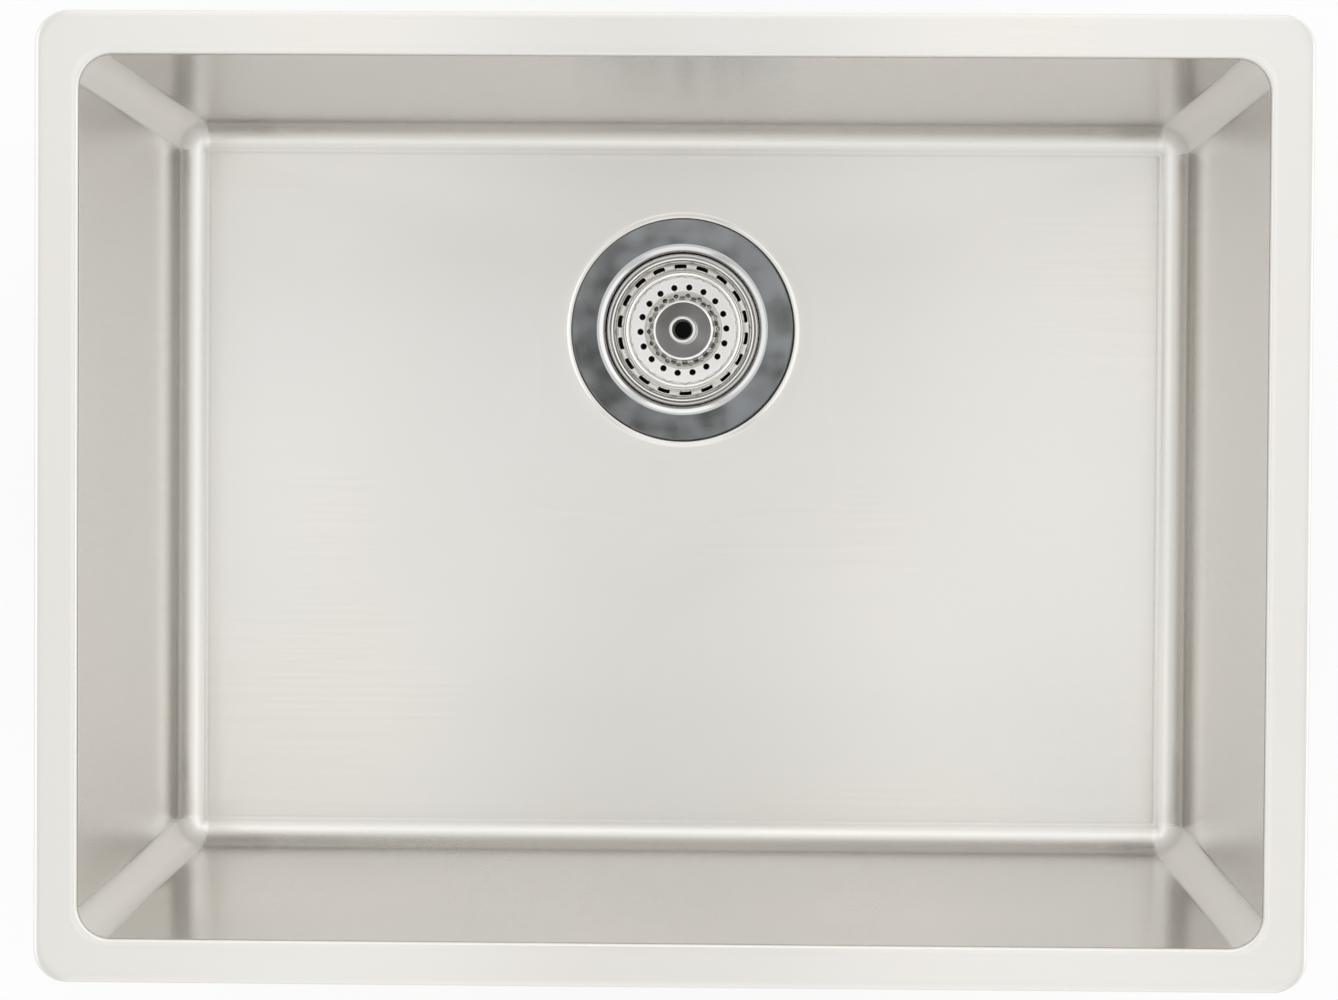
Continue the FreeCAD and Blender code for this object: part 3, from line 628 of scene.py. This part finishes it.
def add_strainer():
    """The strainer's pressing: a flat flange, throat, cup, cone, stopper seat and outlet, with a thread
    round the cup and round the outlet."""
    edge = STRAINER_EDGE
    cup_back = CUP_RADIUS + STRAINER_SHEET
    outlet_back = OUTLET_RADIUS + STRAINER_SHEET
    outlet_top = OUTLET_DEPTH - OUTLET_THREAD_LENGTH
    inside = bent_line([(FLANGE_RADIUS - edge, 0), (THROAT_RADIUS, 0), (CUP_RADIUS, THROAT_DEPTH),
                        (CUP_RADIUS, CUP_WALL_DEPTH), (SEAT_RADIUS, SEAT_DEPTH), (OUTLET_RADIUS, SEAT_DEPTH),
                        (OUTLET_RADIUS, OUTLET_DEPTH)], STRAINER_BENDS, STRAINER_BEND_STEPS)
    outside = sheet_back(inside, STRAINER_SHEET)
    rim = np.array([(FLANGE_RADIUS, edge), (FLANGE_RADIUS, STRAINER_SHEET - edge)])
    on_cup = (outside[:, 0] > cup_back - edge) & (outside[:, 1] > CUP_THREAD_START)
    on_outlet = (outside[:, 0] < outlet_back + edge) & (outside[:, 1] > outlet_top)
    number = np.arange(len(outside))
    split = np.flatnonzero(~on_cup & (outside[:, 1] > CUP_THREAD_START))[0]
    upper = outside[(number < split) & ~on_cup]
    lower = outside[(number >= split) & ~on_outlet]
    points = np.concatenate([turned_grid(inside[::-1], ROUND), turned_grid(rim, ROUND),
                             turned_grid(upper, ROUND),
                             thread_grid(cup_back + CUP_THREAD_HEIGHT, CUP_THREAD_START, CUP_THREAD_END),
                             turned_grid(lower, ROUND),
                             thread_grid(OUTLET_THREAD_RADIUS, outlet_top, OUTLET_DEPTH)])
    section = np.stack([np.hypot(points[:, 0, 0], points[:, 0, 1] - DRAIN_Y),
                        STRAINER_TOP - points[:, 0, 2]], axis=-1)
    shell = patch(points, turned_uv(section, ROUND, True), close_rows=True)
    add_piece("strainer_pressing", [shell], "sink", "strainer_steel", "strainer_body")


def add_seals():
    """The flange gasket, the washers under the floor and the washer over the tailpiece, as soft rings."""
    rings = (("flange_gasket", GASKET_BORE, "seal_rubber"), ("bowl_washer", WASHER_BORE, "seal_rubber"),
             ("friction_washer", WASHER_BORE, "washer_fibre"),
             ("tailpiece_washer", TAILPIECE_BORE, "washer_plastic"))
    for node, bore, slot in rings:
        top, bottom, outer = depth_of(node)
        section = softened([(bore, top), (outer, top), (outer, bottom), (bore, bottom)],
                           RING_SOFTNESS * (bottom - top))
        add_turned(node + "_ring", section, "sink", slot, node)


def add_lock_nut():
    """The large cast nut: a flange on top, and under it a ring with lugs, whose radius steps up and down with
    the angle."""
    top, bottom, reach = depth_of("lock_nut")
    bore, soft = LOCK_NUT_BORE, LOCK_NUT_EDGE
    angles = full_turn(LUG_STEPS * LUG_COUNT)
    sector = 2 * math.pi / LUG_COUNT
    off_lug = np.abs((angles / sector + 1 / 2) % 1 - 1 / 2) * sector * reach
    lug = 1 - ease(np.clip((off_lug - LUG_HALF_WIDTH + soft) / (2 * soft), 0, 1))
    outline = bore + LOCK_NUT_WALL + lug * (reach - bore - LOCK_NUT_WALL)
    flange = top + LOCK_NUT_FLANGE
    rows = [(bore, top + soft), (bore + soft, top), (reach - soft, top), (reach, top + soft),
            (reach, flange - soft), (reach - soft / 2, flange), (outline + soft / 2, flange),
            (outline, flange + soft), (outline, bottom - soft), (outline - soft, bottom),
            (bore + soft, bottom), (bore, bottom - soft)]
    add_ring("strainer_lock_nut", rows, angles, "sink", "nut_zinc", "lock_nut")


def add_tailpiece():
    """The outlet tube: a flange under the washer, a turned neck and a plain end with rounded lips."""
    top, bottom, flange = depth_of("tailpiece")
    neck = TAILPIECE_RADIUS - TAILPIECE_RELIEF
    neck_top = top + TAILPIECE_FLANGE
    neck_end = top + TAILPIECE_NECK
    section = softened([(TAILPIECE_BORE, top), (flange, top), (flange, neck_top), (neck, neck_top),
                        (neck, neck_end), (TAILPIECE_RADIUS, neck_end + TAILPIECE_RELIEF),
                        (TAILPIECE_RADIUS, bottom), (TAILPIECE_BORE, bottom)], TAILPIECE_EDGE)
    add_turned("outlet_tube", section, "sink", "plated_brass", "tailpiece")


def add_coupling_nut():
    """The nut over the outlet's thread: an outline with flats and trimmed corners, bevelled at both ends,
    round a stepped bore."""
    top, bottom, _ = depth_of("coupling_nut")
    bore, lip, soft = COUPLING_BORE, COUPLING_LIP_BORE, COUPLING_EDGE
    flat = bore + COUPLING_WALL
    angles = full_turn(COUPLING_STEPS * COUPLING_SIDES)
    outline = np.minimum(polygon_radius(angles, COUPLING_SIDES, flat), flat + COUPLING_CORNER)
    trim = np.minimum(outline, flat + COUPLING_TRIM)
    seat = bottom - COUPLING_LIP
    rows = [(bore, top + soft / 2), (bore + soft / 2, top), (trim - soft, top), (trim, top + soft / 2),
            (outline, top + 2 * soft), (outline, bottom - 2 * soft), (trim, bottom - soft / 2),
            (trim - soft, bottom), (lip + soft / 2, bottom), (lip, bottom - soft / 2), (lip, seat),
            (bore, seat)]
    add_ring("outlet_nut", rows, angles, "sink", "plated_brass", "coupling_nut")


# Basket

def basket_line():
    """The upper side of the basket's sheet, inwards from the foot of its turned-down rim: rim, leaning wall,
    falling floor and raised boss. The numbers of the points between which wall and floor run straight."""
    corners = [(BASKET_RIM_RADIUS, BASKET_RIM_FOOT), (BASKET_RIM_RADIUS, BASKET_RIM_DEPTH),
               (BASKET_WALL_RADIUS, BASKET_RIM_DEPTH), (BASKET_FOOT_RADIUS, BASKET_FLOOR_DEPTH),
               (BOSS_FOOT_RADIUS, BOSS_FOOT_DEPTH), (BOSS_RADIUS, BOSS_DEPTH), (BOSS_HOLE, BOSS_DEPTH)]
    line = bent_line(corners, BASKET_BENDS)
    line = np.concatenate([line, line[-1:] - (2 * HOLD, 0)])
    points_per_bend = BEND_STEPS + 2
    return line, 2 * points_per_bend, 3 * points_per_bend


def pierced_sectors(line, row, half_height, half_width, middle, power, first):
    """A straight band between two points of a line, divided into equal sectors with an opening in each, whose
    middle is a share of the way along the band: in each sector rings run from the opening's outline, a
    superellipse, to the sector's border."""
    outer, inner = line[row], line[row + 1]
    side = np.linspace(-1, 1, SECTOR_STEPS + 1)[:-1]
    one = np.ones_like(side)
    border_u = np.concatenate([side, one, -side, -one])
    border_v = np.concatenate([-one, side, one, -side])
    length = np.linalg.norm(inner - outer)
    centre_radius = outer[0] + (inner[0] - outer[0]) * middle
    half_sector = math.pi / HOLE_COUNT
    border = np.stack([border_u * half_sector, (border_v + 1) / 2], axis=-1)
    reach = border - (0, middle)
    scaled = np.abs(np.stack([reach[:, 0] * centre_radius / half_width, reach[:, 1] * length / half_height]))
    shrink = (scaled ** power).sum(axis=0) ** (-1 / power)
    outline = (0, middle) + reach * shrink[:, None]
    ring = np.linspace(0, 1, PIERCED_RINGS)[:, None, None] ** PIERCED_POWER
    grid = outline + ring * (border - outline)
    sector = first + 2 * half_sector * np.arange(HOLE_COUNT)[:, None, None]
    angle = sector + grid[..., 0]
    place = np.broadcast_to(grid[..., 1], angle.shape)
    radius = outer[0] + (inner[0] - outer[0]) * place
    depth = outer[1] + (inner[1] - outer[1]) * place
    uv = np.stack([angle * centre_radius, place * length], axis=-1)
    uv = np.concatenate([uv, uv[:, :, :1]], axis=2)
    return [patch(*sector_grids) for sector_grids in zip(placed(radius, angle, depth), uv)]


def add_basket():
    """The basket: one sheet, with a ring of windows in its wall and a ring of round holes in its floor, given
    its thickness by Solidify."""
    line, wall, floor = basket_line()
    angles = FIRST_HOLE + full_turn(HOLE_COUNT * SECTOR_STEPS)
    plain = (line[:wall + 1], line[wall + 1:floor + 1], line[floor + 1:])
    patches = [patch(turned_grid(part, angles), turned_uv(part, angles, False)) for part in plain]
    patches += pierced_sectors(line, wall, WINDOW_HALF_HEIGHT, WINDOW_HALF_WIDTH, WINDOW_PLACE, WINDOW_POWER,
                               FIRST_HOLE + math.pi / HOLE_COUNT)
    outer, inner = line[floor], line[floor + 1]
    hole_place = (outer[0] - HOLE_CIRCLE) / (outer[0] - inner[0])
    patches += pierced_sectors(line, floor, HOLE_RADIUS, HOLE_RADIUS, hole_place, HOLE_POWER, FIRST_HOLE)
    basket = add_piece("lift_basket", patches, "basket", "basket_steel", "basket_cup", closed=False)
    sheet = basket.modifiers.new("sheet", "SOLIDIFY")
    sheet.thickness = BASKET_SHEET
    sheet.offset = -1
    sheet.use_even_offset = True


def add_post():
    """The hollow post with its stem: a blind bore with rounded lips, and a shoulder on the boss."""
    top, bottom, radius = depth_of("basket_post")
    bore_end = top + POST_BORE_DEPTH
    line = bent_line([(0, bore_end), (POST_BORE, bore_end), (POST_BORE, top), (radius, top),
                      (radius, BOSS_DEPTH), (STEM_RADIUS, BOSS_DEPTH), (STEM_RADIUS, STEM_END),
                      (SPIGOT_RADIUS, STEM_END), (SPIGOT_RADIUS, bottom), (0, bottom)], POST_BENDS)
    shell = patch(turned_grid(line, ROUND), turned_uv(line, ROUND, False))
    add_piece("lift_post", [shell], "basket", "basket_steel", "basket_post")


def add_stopper():
    """The rubber bell: a hub that flares to a lip, which closes the outlet, and the nut under it."""
    top, bottom, lip = depth_of("stopper")
    bottom -= SEAT_PLAY
    section = softened([(STOPPER_BORE, top), (STOPPER_HUB, top), (STOPPER_HUB, bottom - STOPPER_FLARE),
                        (lip, bottom - STOPPER_LIP), (lip, bottom), (STOPPER_BORE, bottom)], STOPPER_EDGE)
    add_turned("stopper_bell", section, "basket", "seal_rubber", "stopper")
    top, bottom, _ = depth_of("stopper_nut")
    angles = full_turn(STOPPER_NUT_STEPS * STOPPER_NUT_SIDES)
    outline = polygon_radius(angles, STOPPER_NUT_SIDES, STOPPER_NUT_FLAT)
    trim = np.minimum(outline, STOPPER_NUT_TRIM)
    rows = [(STOPPER_BORE, top), (trim, top), (outline, top + STOPPER_NUT_BEVEL),
            (outline, bottom - STOPPER_NUT_BEVEL), (trim, bottom), (STOPPER_BORE, bottom)]
    add_ring("stopper_hexagon", rows, angles, "basket", "basket_steel", "stopper_nut")


# Finishes

# The places of the colours among a Mix node's sockets
MIX_FIRST, MIX_SECOND, MIX_RESULT = 6, 7, 2
# The part of a noise's range in which most of it lies
NOISE_RANGE = (0.3, 0.7)
# A quarter turn, from along the grain to across it
ACROSS_GRAIN = 0.25
# The soft edge of the discs of painted light and painted shade round the drain's axis
PAINTED_DISC_EDGE = 0.0004
# The fine scratches' scale against the streaks, and their share
SCRATCH_SCALE = (4.0, 5.0, 1.0)
SCRATCH_SHARE = 0.4


def node_group(name, *inputs):
    """An empty shader node group, and the sockets of the numbers that it is given."""
    group = bpy.data.node_groups.new(name, "ShaderNodeTree")
    for socket in inputs:
        group.interface.new_socket(socket, in_out="INPUT", socket_type="NodeSocketFloat")
    return group, group.nodes.new("NodeGroupInput").outputs


def with_results(group, **results):
    """A node group with the numbers that it gives."""
    for socket in results:
        group.interface.new_socket(socket, in_out="OUTPUT", socket_type="NodeSocketFloat")
    output = group.nodes.new("NodeGroupOutput")
    for socket, value in results.items():
        group.links.new(value, output.inputs[socket])
    return group


def add_node(tree, kind, inputs=(), **settings):
    """A node with its settings and inputs; an input is a value or the socket that it takes its value from."""
    node = tree.nodes.new(kind)
    for key, value in settings.items():
        setattr(node, key, value)
    for key, value in dict(inputs).items():
        if isinstance(value, bpy.types.NodeSocket):
            tree.links.new(value, node.inputs[key])
        else:
            node.inputs[key].default_value = value
    return node


def math_node(tree, operation, first, second=0.0, clamp=False):
    """The result socket of one sum."""
    return add_node(tree, "ShaderNodeMath", {0: first, 1: second}, operation=operation,
                    use_clamp=clamp).outputs[0]


def vector_node(tree, operation, first, second, result=0):
    """A result socket of one sum with vectors."""
    return add_node(tree, "ShaderNodeVectorMath", {0: first, 1: second}, operation=operation).outputs[result]


def noise(tree, place, scale, detail, roughness):
    """The value of a noise at a place."""
    return add_node(tree, "ShaderNodeTexNoise", {"Vector": place, "Scale": scale, "Detail": detail,
                                                 "Roughness": roughness}).outputs["Fac"]


def object_place(tree):
    """A surface's place in the frame of the solids."""
    return add_node(tree, "ShaderNodeTexCoord").outputs["Object"]


def ranged(tree, value, low, high, from_range=NOISE_RANGE, kind="LINEAR"):
    """A value brought from one range into another."""
    return add_node(tree, "ShaderNodeMapRange",
                    {"Value": value, "From Min": from_range[0], "From Max": from_range[1], "To Min": low,
                     "To Max": high}, interpolation_type=kind).outputs["Result"]


def mixed(tree, share, first, second):
    """A number between two, by a share that changes over the surface."""
    return add_node(tree, "ShaderNodeMix", {"Factor": share, "A": first, "B": second},
                    data_type="FLOAT").outputs["Result"]


def mixed_colour(tree, share, first, second):
    """A colour between two, by a share that changes over the surface. The first may be a socket."""
    if not isinstance(first, bpy.types.NodeSocket):
        first = (*first, 1)
    return add_node(tree, "ShaderNodeMix", {"Factor": share, MIX_FIRST: first, MIX_SECOND: (*second, 1)},
                    data_type="RGBA").outputs[MIX_RESULT]


def brushed_group():
    """Brushed grain on a UV map in metres whose U runs along the grain: long streaks and fine scratches, as a
    shade round 0.5 and a height. Broad soft clouds on Object coordinates."""
    group, given = node_group("brushed_grain", "Streak Length", "Streak Density", "Cloud Scale")
    place = add_node(group, "ShaderNodeUVMap", uv_map="grain").outputs["UV"]
    scale = add_node(group, "ShaderNodeCombineXYZ", {"X": given["Streak Length"],
                                                     "Y": given["Streak Density"]}).outputs[0]
    streak_place = vector_node(group, "MULTIPLY", place, scale)
    streak = noise(group, streak_place, scale=1.0, detail=3.0, roughness=0.6)
    scratch_place = vector_node(group, "MULTIPLY", streak_place, SCRATCH_SCALE)
    scratch = noise(group, scratch_place, scale=1.0, detail=2.0, roughness=0.5)
    cloud = noise(group, object_place(group), scale=given["Cloud Scale"], detail=2.0, roughness=0.45)
    shade = mixed(group, SCRATCH_SHARE, streak, scratch)
    return with_results(group, Shade=shade, Height=scratch, Cloud=cloud)


def inner_group():
    """How far a place lies within a radius of the drain's axis, on Object coordinates: 1 inside, 0 outside,
    with a soft edge."""
    group, given = node_group("within_drain", "Radius")
    flat = vector_node(group, "MULTIPLY", object_place(group), (1, 1, 0))
    reach = vector_node(group, "DISTANCE", flat, (0, DRAIN_Y, 0), "Value")
    within = math_node(group, "SUBTRACT", given["Radius"], reach)
    return with_results(group, Mask=math_node(group, "DIVIDE", within, PAINTED_DISC_EDGE, True))


def corner_group():
    """How far a place lies in one of the bowl's upright corners, on Object coordinates: the product of soft
    steps along X and along Y, a little past the start of the corner's arc, which move in with the leaning
    walls, and of soft steps below the rim and above the floor."""
    group, _ = node_group("upright_corners")
    parts = add_node(group, "ShaderNodeSeparateXYZ", {0: object_place(group)}).outputs
    shares = []
    for axis, opening, draft in (("X", OPENING_X, SIDE_DRAFT), ("Y", OPENING_Y, FRONT_DRAFT)):
        lean = math_node(group, "MULTIPLY", parts["Z"], draft / BOWL_DEPTH)
        arc = math_node(group, "ADD", lean, opening - CORNER)
        past = math_node(group, "SUBTRACT", math_node(group, "ABSOLUTE", parts[axis]), arc)
        shares.append(ranged(group, past, 0, 1, BLEND_EDGE))
    for soft_edge in (BLEND_TOP, BLEND_FOOT):
        shares.append(ranged(group, parts["Z"], 0, 1, soft_edge))
    mask = shares[0]
    for share in shares[1:]:
        mask = math_node(group, "MULTIPLY", mask, share)
    return with_results(group, Mask=mask)


def pebble_group():
    """Fine pebble grain of moulded or cast skins, on Object coordinates: a height and a shade."""
    group, given = node_group("pebble_skin", "Grain Size")
    place = object_place(group)
    cells = add_node(group, "ShaderNodeTexVoronoi", {"Vector": place, "Scale": given["Grain Size"]},
                     feature="SMOOTH_F1").outputs["Distance"]
    broad = noise(group, place, scale=30.0, detail=4.0, roughness=0.55)
    return with_results(group, Height=cells, Shade=broad)


def new_material(name):
    """A material with a Principled shader, and its node tree."""
    material = bpy.data.materials.new(name)
    material.use_nodes = True
    tree = material.node_tree
    return material, tree, tree.nodes["Principled BSDF"]


def set_surface(tree, shader, colour, blur, metal, height, bump):
    """The shader's colour, roughness and metal, and a relief of a height."""
    tree.links.new(colour, shader.inputs["Base Color"])
    tree.links.new(blur, shader.inputs["Roughness"])
    shader.inputs["Metallic"].default_value = metal
    relief = add_node(tree, "ShaderNodeBump", {"Strength": 1.0, "Distance": bump, "Height": height})
    tree.links.new(relief.outputs[0], shader.inputs["Normal"])


def brushed_steel(name, dark, light, tint, roughness, anisotropy, streaks, bump, cloud, metal=1.0, painted_light_and_shade=(),
                  corner_finish_and_light=None):
    """Stainless steel with a directional grain, which spreads reflections across it, and broad soft clouds of
    a tint. Within a disc's radius of the drain's axis it has the disc's tone: painted light where that is
    paler, painted shade where it is darker. In upright corners it has a roughness of its own, from hand
    blending, and a paler colour, which is painted light."""
    material, tree, shader = new_material(name)
    length, density = streaks
    grain = add_node(tree, "ShaderNodeGroup", {"Streak Length": length, "Streak Density": density,
                                               "Cloud Scale": cloud}, node_tree=brushed).outputs
    colour = mixed_colour(tree, ranged(tree, grain["Shade"], 0, 1), dark, light)
    colour = mixed_colour(tree, ranged(tree, grain["Cloud"], 0, 1), colour, tint)
    # Discs round the drain's axis in a tone of their own: painted light where paler, painted shade where
    # darker
    for radius, shade in painted_light_and_shade:
        within = add_node(tree, "ShaderNodeGroup", {"Radius": radius}, node_tree=inner).outputs["Mask"]
        colour = mixed_colour(tree, within, colour, (shade, shade, shade))
    blur = ranged(tree, grain["Cloud"], *roughness)
    # The corners' own roughness, from hand blending, and a paler colour there, which is painted light
    if corner_finish_and_light:
        corner_blur, corner_painted_light = corner_finish_and_light
        corner = add_node(tree, "ShaderNodeGroup", node_tree=blended_and_painted_corners).outputs["Mask"]
        blur = mixed(tree, corner, blur, corner_blur)
        colour = mixed_colour(tree, corner, colour, corner_painted_light)
    set_surface(tree, shader, colour, blur, metal, grain["Height"], bump)
    shader.inputs["Anisotropic"].default_value = anisotropy
    shader.inputs["Anisotropic Rotation"].default_value = ACROSS_GRAIN
    along = add_node(tree, "ShaderNodeTangent", direction_type="UV_MAP", uv_map="grain")
    tree.links.new(along.outputs[0], shader.inputs["Tangent"])
    return material


def moulded(name, dark, light, roughness, grain_size, bump, metal=0.0):
    """Rubber, plastic, fibre or a casting with a fine pebble skin."""
    material, tree, shader = new_material(name)
    skin = add_node(tree, "ShaderNodeGroup", {"Grain Size": grain_size}, node_tree=pebble).outputs
    colour = mixed_colour(tree, ranged(tree, skin["Shade"], 0, 1), dark, light)
    set_surface(tree, shader, colour, ranged(tree, skin["Shade"], *roughness), metal, skin["Height"], bump)
    return material


brushed = brushed_group()
inner = inner_group()
blended_and_painted_corners = corner_group()
pebble = pebble_group()
finishes = {
    # The bowl's upright corners get a rougher finish and a paler colour, which is painted light
    "bowl_steel": brushed_steel(
        "satin_bowl_steel", dark=(0.735, 0.712, 0.672), light=(0.775, 0.751, 0.710),
        tint=(0.750, 0.738, 0.708), roughness=(0.185, 0.225), anisotropy=1.0, streaks=(7.0, 420.0),
        bump=0.000003, cloud=7.0, metal=0.86, corner_finish_and_light=(0.38, (0.825, 0.805, 0.770))),
    # The strainer's throat ring gets an even paler tone, and everything within the cup's radius a much paler
    # one: painted light
    "strainer_steel": brushed_steel(
        "turned_strainer_steel", dark=(0.49, 0.50, 0.505), light=(0.56, 0.562, 0.558),
        tint=(0.385, 0.408, 0.42), roughness=(0.06, 0.14), anisotropy=0.5, streaks=(12.0, 1500.0),
        bump=0.000002, cloud=60.0, painted_light_and_shade=((0.0440, 0.56), (0.0395, 0.85))),
    # Black within 5 mm of the drain's axis: painted shade in the post's bore
    "basket_steel": brushed_steel(
        "polished_basket_steel", dark=(0.78, 0.77, 0.75), light=(0.84, 0.83, 0.81),
        tint=(0.76, 0.75, 0.73), roughness=(0.06, 0.12), anisotropy=0.3, streaks=(12.0, 1200.0),
        bump=0.000002, cloud=30.0, painted_light_and_shade=((0.0050, 0.02),)),
    "pad_rubber": moulded(
        "sound_pad_rubber", dark=(0.030, 0.030, 0.032), light=(0.050, 0.050, 0.052),
        roughness=(0.62, 0.80), grain_size=700.0, bump=0.00025),
    "seal_rubber": moulded(
        "black_seal_rubber", dark=(0.012, 0.012, 0.012), light=(0.022, 0.022, 0.022),
        roughness=(0.42, 0.60), grain_size=2400.0, bump=0.00004),
    "washer_fibre": moulded(
        "pressed_fibre", dark=(0.16, 0.085, 0.045), light=(0.24, 0.14, 0.075),
        roughness=(0.70, 0.90), grain_size=1800.0, bump=0.00008),
    "washer_plastic": moulded(
        "washer_polythene", dark=(0.66, 0.66, 0.63), light=(0.76, 0.76, 0.73),
        roughness=(0.38, 0.50), grain_size=2000.0, bump=0.00002),
    "nut_zinc": moulded(
        "plated_zinc_casting", dark=(0.44, 0.44, 0.44), light=(0.58, 0.58, 0.58),
        roughness=(0.22, 0.36), grain_size=1500.0, bump=0.00004, metal=1.0),
    "plated_brass": moulded(
        "chrome_plate", dark=(0.66, 0.67, 0.68), light=(0.74, 0.75, 0.76),
        roughness=(0.06, 0.12), grain_size=500.0, bump=0.000002, metal=1.0),
    "tip_nylon": moulded(
        "moulded_nylon", dark=(0.72, 0.70, 0.64), light=(0.80, 0.78, 0.72),
        roughness=(0.40, 0.55), grain_size=2600.0, bump=0.00002),
}
cad_finishes = {
    "outlet_crossbar": moulded(
        "cast_crossbar_steel", dark=(0.50, 0.49, 0.48), light=(0.60, 0.59, 0.58),
        roughness=(0.20, 0.32), grain_size=1500.0, bump=0.00002, metal=1.0),
    "snap_tip": finishes["tip_nylon"],
}


def finish_solids():
    """The finish of each node that is shown as it is."""
    for node, finish in cad_finishes.items():
        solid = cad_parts[node]
        solid.data.materials.clear()
        solid.data.materials.append(finish)


# Stage, light and camera

FLOOR_SIZE = 40.0
FLOOR_COLOUR = (0.9, 0.9, 0.9, 1)
FLOOR_ROUGHNESS = 0.8
FLOOR_GLOW = 0.8
WHITE = (1, 1, 1, 1)
CAMERA_PLACE = (0.0406, 0.0534, 1.8671)
CAMERA_TURN = (-1.609, 1.277, 0.349)
CAMERA_LENS = 110.7
SENSOR_WIDTH = 36.0
DARK_DIRECTION = np.array([-0.024, 0.009, 1.0])
# The world's strength by the angle in degrees from the dark disc's middle
SKY_STOPS = ((0, 0.10), (2.1, 0.12), (3.6, 1.24), (6, 1.24), (9.5, 1.06), (14, 0.94), (18, 0.94),
             (40, 0.95), (50, 1.0), (75, 1.0), (90, 0.85), (180, 0.85))
HALF_TURN = 180
NEW_STOP = 0.5
# The bars' edges and reaches in degrees from overhead, and how much brighter they are
BAR_INNER_EDGE = (18.0, 20.5)
BAR_OUTER_EDGE = (35.0, 40.0)
SIDE_BAR_REACH = (40.0, 50.0)
END_BAR_REACH = (10.0, 14.5)
BAR_GAIN = 0.6
LOWEST_SLOPE = 0.05
# The way the world grows brighter, and how much
SKY_LEAN = (0.12, 0.18, 0.0)


def add_stage():
    """A plain pale floor that the tailpiece stands over, which keeps a faint shadow."""
    level = cad_box[0].z
    half = FLOOR_SIZE / 2
    mesh = bpy.data.meshes.new("studio_floor")
    mesh.from_pydata([(-half, -half, level), (half, -half, level), (half, half, level), (-half, half, level)],
                     [], [(0, 1, 2, 3)])
    floor = linked("studio_floor", mesh)
    material, tree, shader = new_material("pale_floor")
    shader.inputs["Base Color"].default_value = FLOOR_COLOUR
    shader.inputs["Roughness"].default_value = FLOOR_ROUGHNESS
    glow = add_node(tree, "ShaderNodeEmission", {"Color": WHITE, "Strength": 1.0})
    path = add_node(tree, "ShaderNodeLightPath")
    seen = math_node(tree, "ADD", path.outputs["Is Camera Ray"], path.outputs["Is Glossy Ray"])
    seen = math_node(tree, "ADD", seen, path.outputs["Is Transmission Ray"], True)
    share = math_node(tree, "MULTIPLY", seen, FLOOR_GLOW)
    mix = add_node(tree, "ShaderNodeMixShader", {0: share, 1: shader.outputs[0], 2: glow.outputs[0]})
    tree.links.new(mix.outputs[0], tree.nodes["Material Output"].inputs["Surface"])
    mesh.materials.append(material)


def edge_of(tree, value, angles, rising):
    """A smooth step from 0 to 1, or from 1 to 0, as a slope passes between two angles in degrees."""
    return ranged(tree, value, 1 - rising, rising, np.tan(np.radians(angles)), "SMOOTHSTEP")


def light_bar(tree, across, along, reach):
    """The share of a pair of soft bars overhead, one on each side: between two slopes across them, and as far
    along them as a reach."""
    share = math_node(tree, "MULTIPLY", edge_of(tree, across, BAR_INNER_EDGE, 1),
                      edge_of(tree, across, BAR_OUTER_EDGE, 0))
    return math_node(tree, "MULTIPLY", share, edge_of(tree, along, reach, 0))


def add_light():
    """Soft light from all round: a pale world with a small dark disc overhead, and a square of four brighter
    bars round it."""
    world = bpy.data.worlds.new("studio")
    bpy.context.scene.world = world
    world.use_nodes = True
    tree = world.node_tree
    tree.nodes.clear()
    direction = add_node(tree, "ShaderNodeTexCoord").outputs["Generated"]
    cosine = vector_node(tree, "DOT_PRODUCT", direction, tuple(unit(DARK_DIRECTION)), "Value")
    share = math_node(tree, "DIVIDE", math_node(tree, "ARCCOSINE", cosine), math.pi)
    ramp = add_node(tree, "ShaderNodeValToRGB", {"Fac": share})
    while len(ramp.color_ramp.elements) < len(SKY_STOPS):
        ramp.color_ramp.elements.new(NEW_STOP)
    for element, (degrees, strength) in zip(ramp.color_ramp.elements, SKY_STOPS):
        element.position = degrees / HALF_TURN
        element.color = (strength, strength, strength, 1)
    parts = add_node(tree, "ShaderNodeSeparateXYZ", {0: direction}).outputs
    height = math_node(tree, "MAXIMUM", parts["Z"], LOWEST_SLOPE)
    slope_x, slope_y = [math_node(tree, "ABSOLUTE", math_node(tree, "DIVIDE", parts[axis], height))
                        for axis in ("X", "Y")]
    bars = math_node(tree, "MAXIMUM", light_bar(tree, slope_x, slope_y, SIDE_BAR_REACH),
                     light_bar(tree, slope_y, slope_x, END_BAR_REACH))
    strength = math_node(tree, "ADD", ramp.outputs["Color"], math_node(tree, "MULTIPLY", bars, BAR_GAIN))
    lean = vector_node(tree, "DOT_PRODUCT", direction, SKY_LEAN, "Value")
    strength = math_node(tree, "MULTIPLY", strength, math_node(tree, "ADD", lean, 1.0))
    around = add_node(tree, "ShaderNodeBackground", {"Color": WHITE, "Strength": strength})
    output = add_node(tree, "ShaderNodeOutputWorld")
    tree.links.new(around.outputs[0], output.inputs["Surface"])


def add_camera():
    """A camera above the sink, turned a little to the photograph's view."""
    lens = bpy.data.cameras.new("camera")
    lens.lens = CAMERA_LENS
    lens.sensor_fit = "HORIZONTAL"
    lens.sensor_width = SENSOR_WIDTH
    camera = linked("camera", lens)
    camera.location = CAMERA_PLACE
    camera.rotation_euler = [math.radians(angle) for angle in CAMERA_TURN]
    bpy.context.scene.camera = camera


add_bowl()
add_pads()
add_strainer()
add_seals()
add_lock_nut()
add_tailpiece()
add_coupling_nut()
add_basket()
add_post()
add_stopper()
finish_solids()
add_stage()
add_light()
add_camera()
bpy.context.scene.view_settings.view_transform = "Standard"
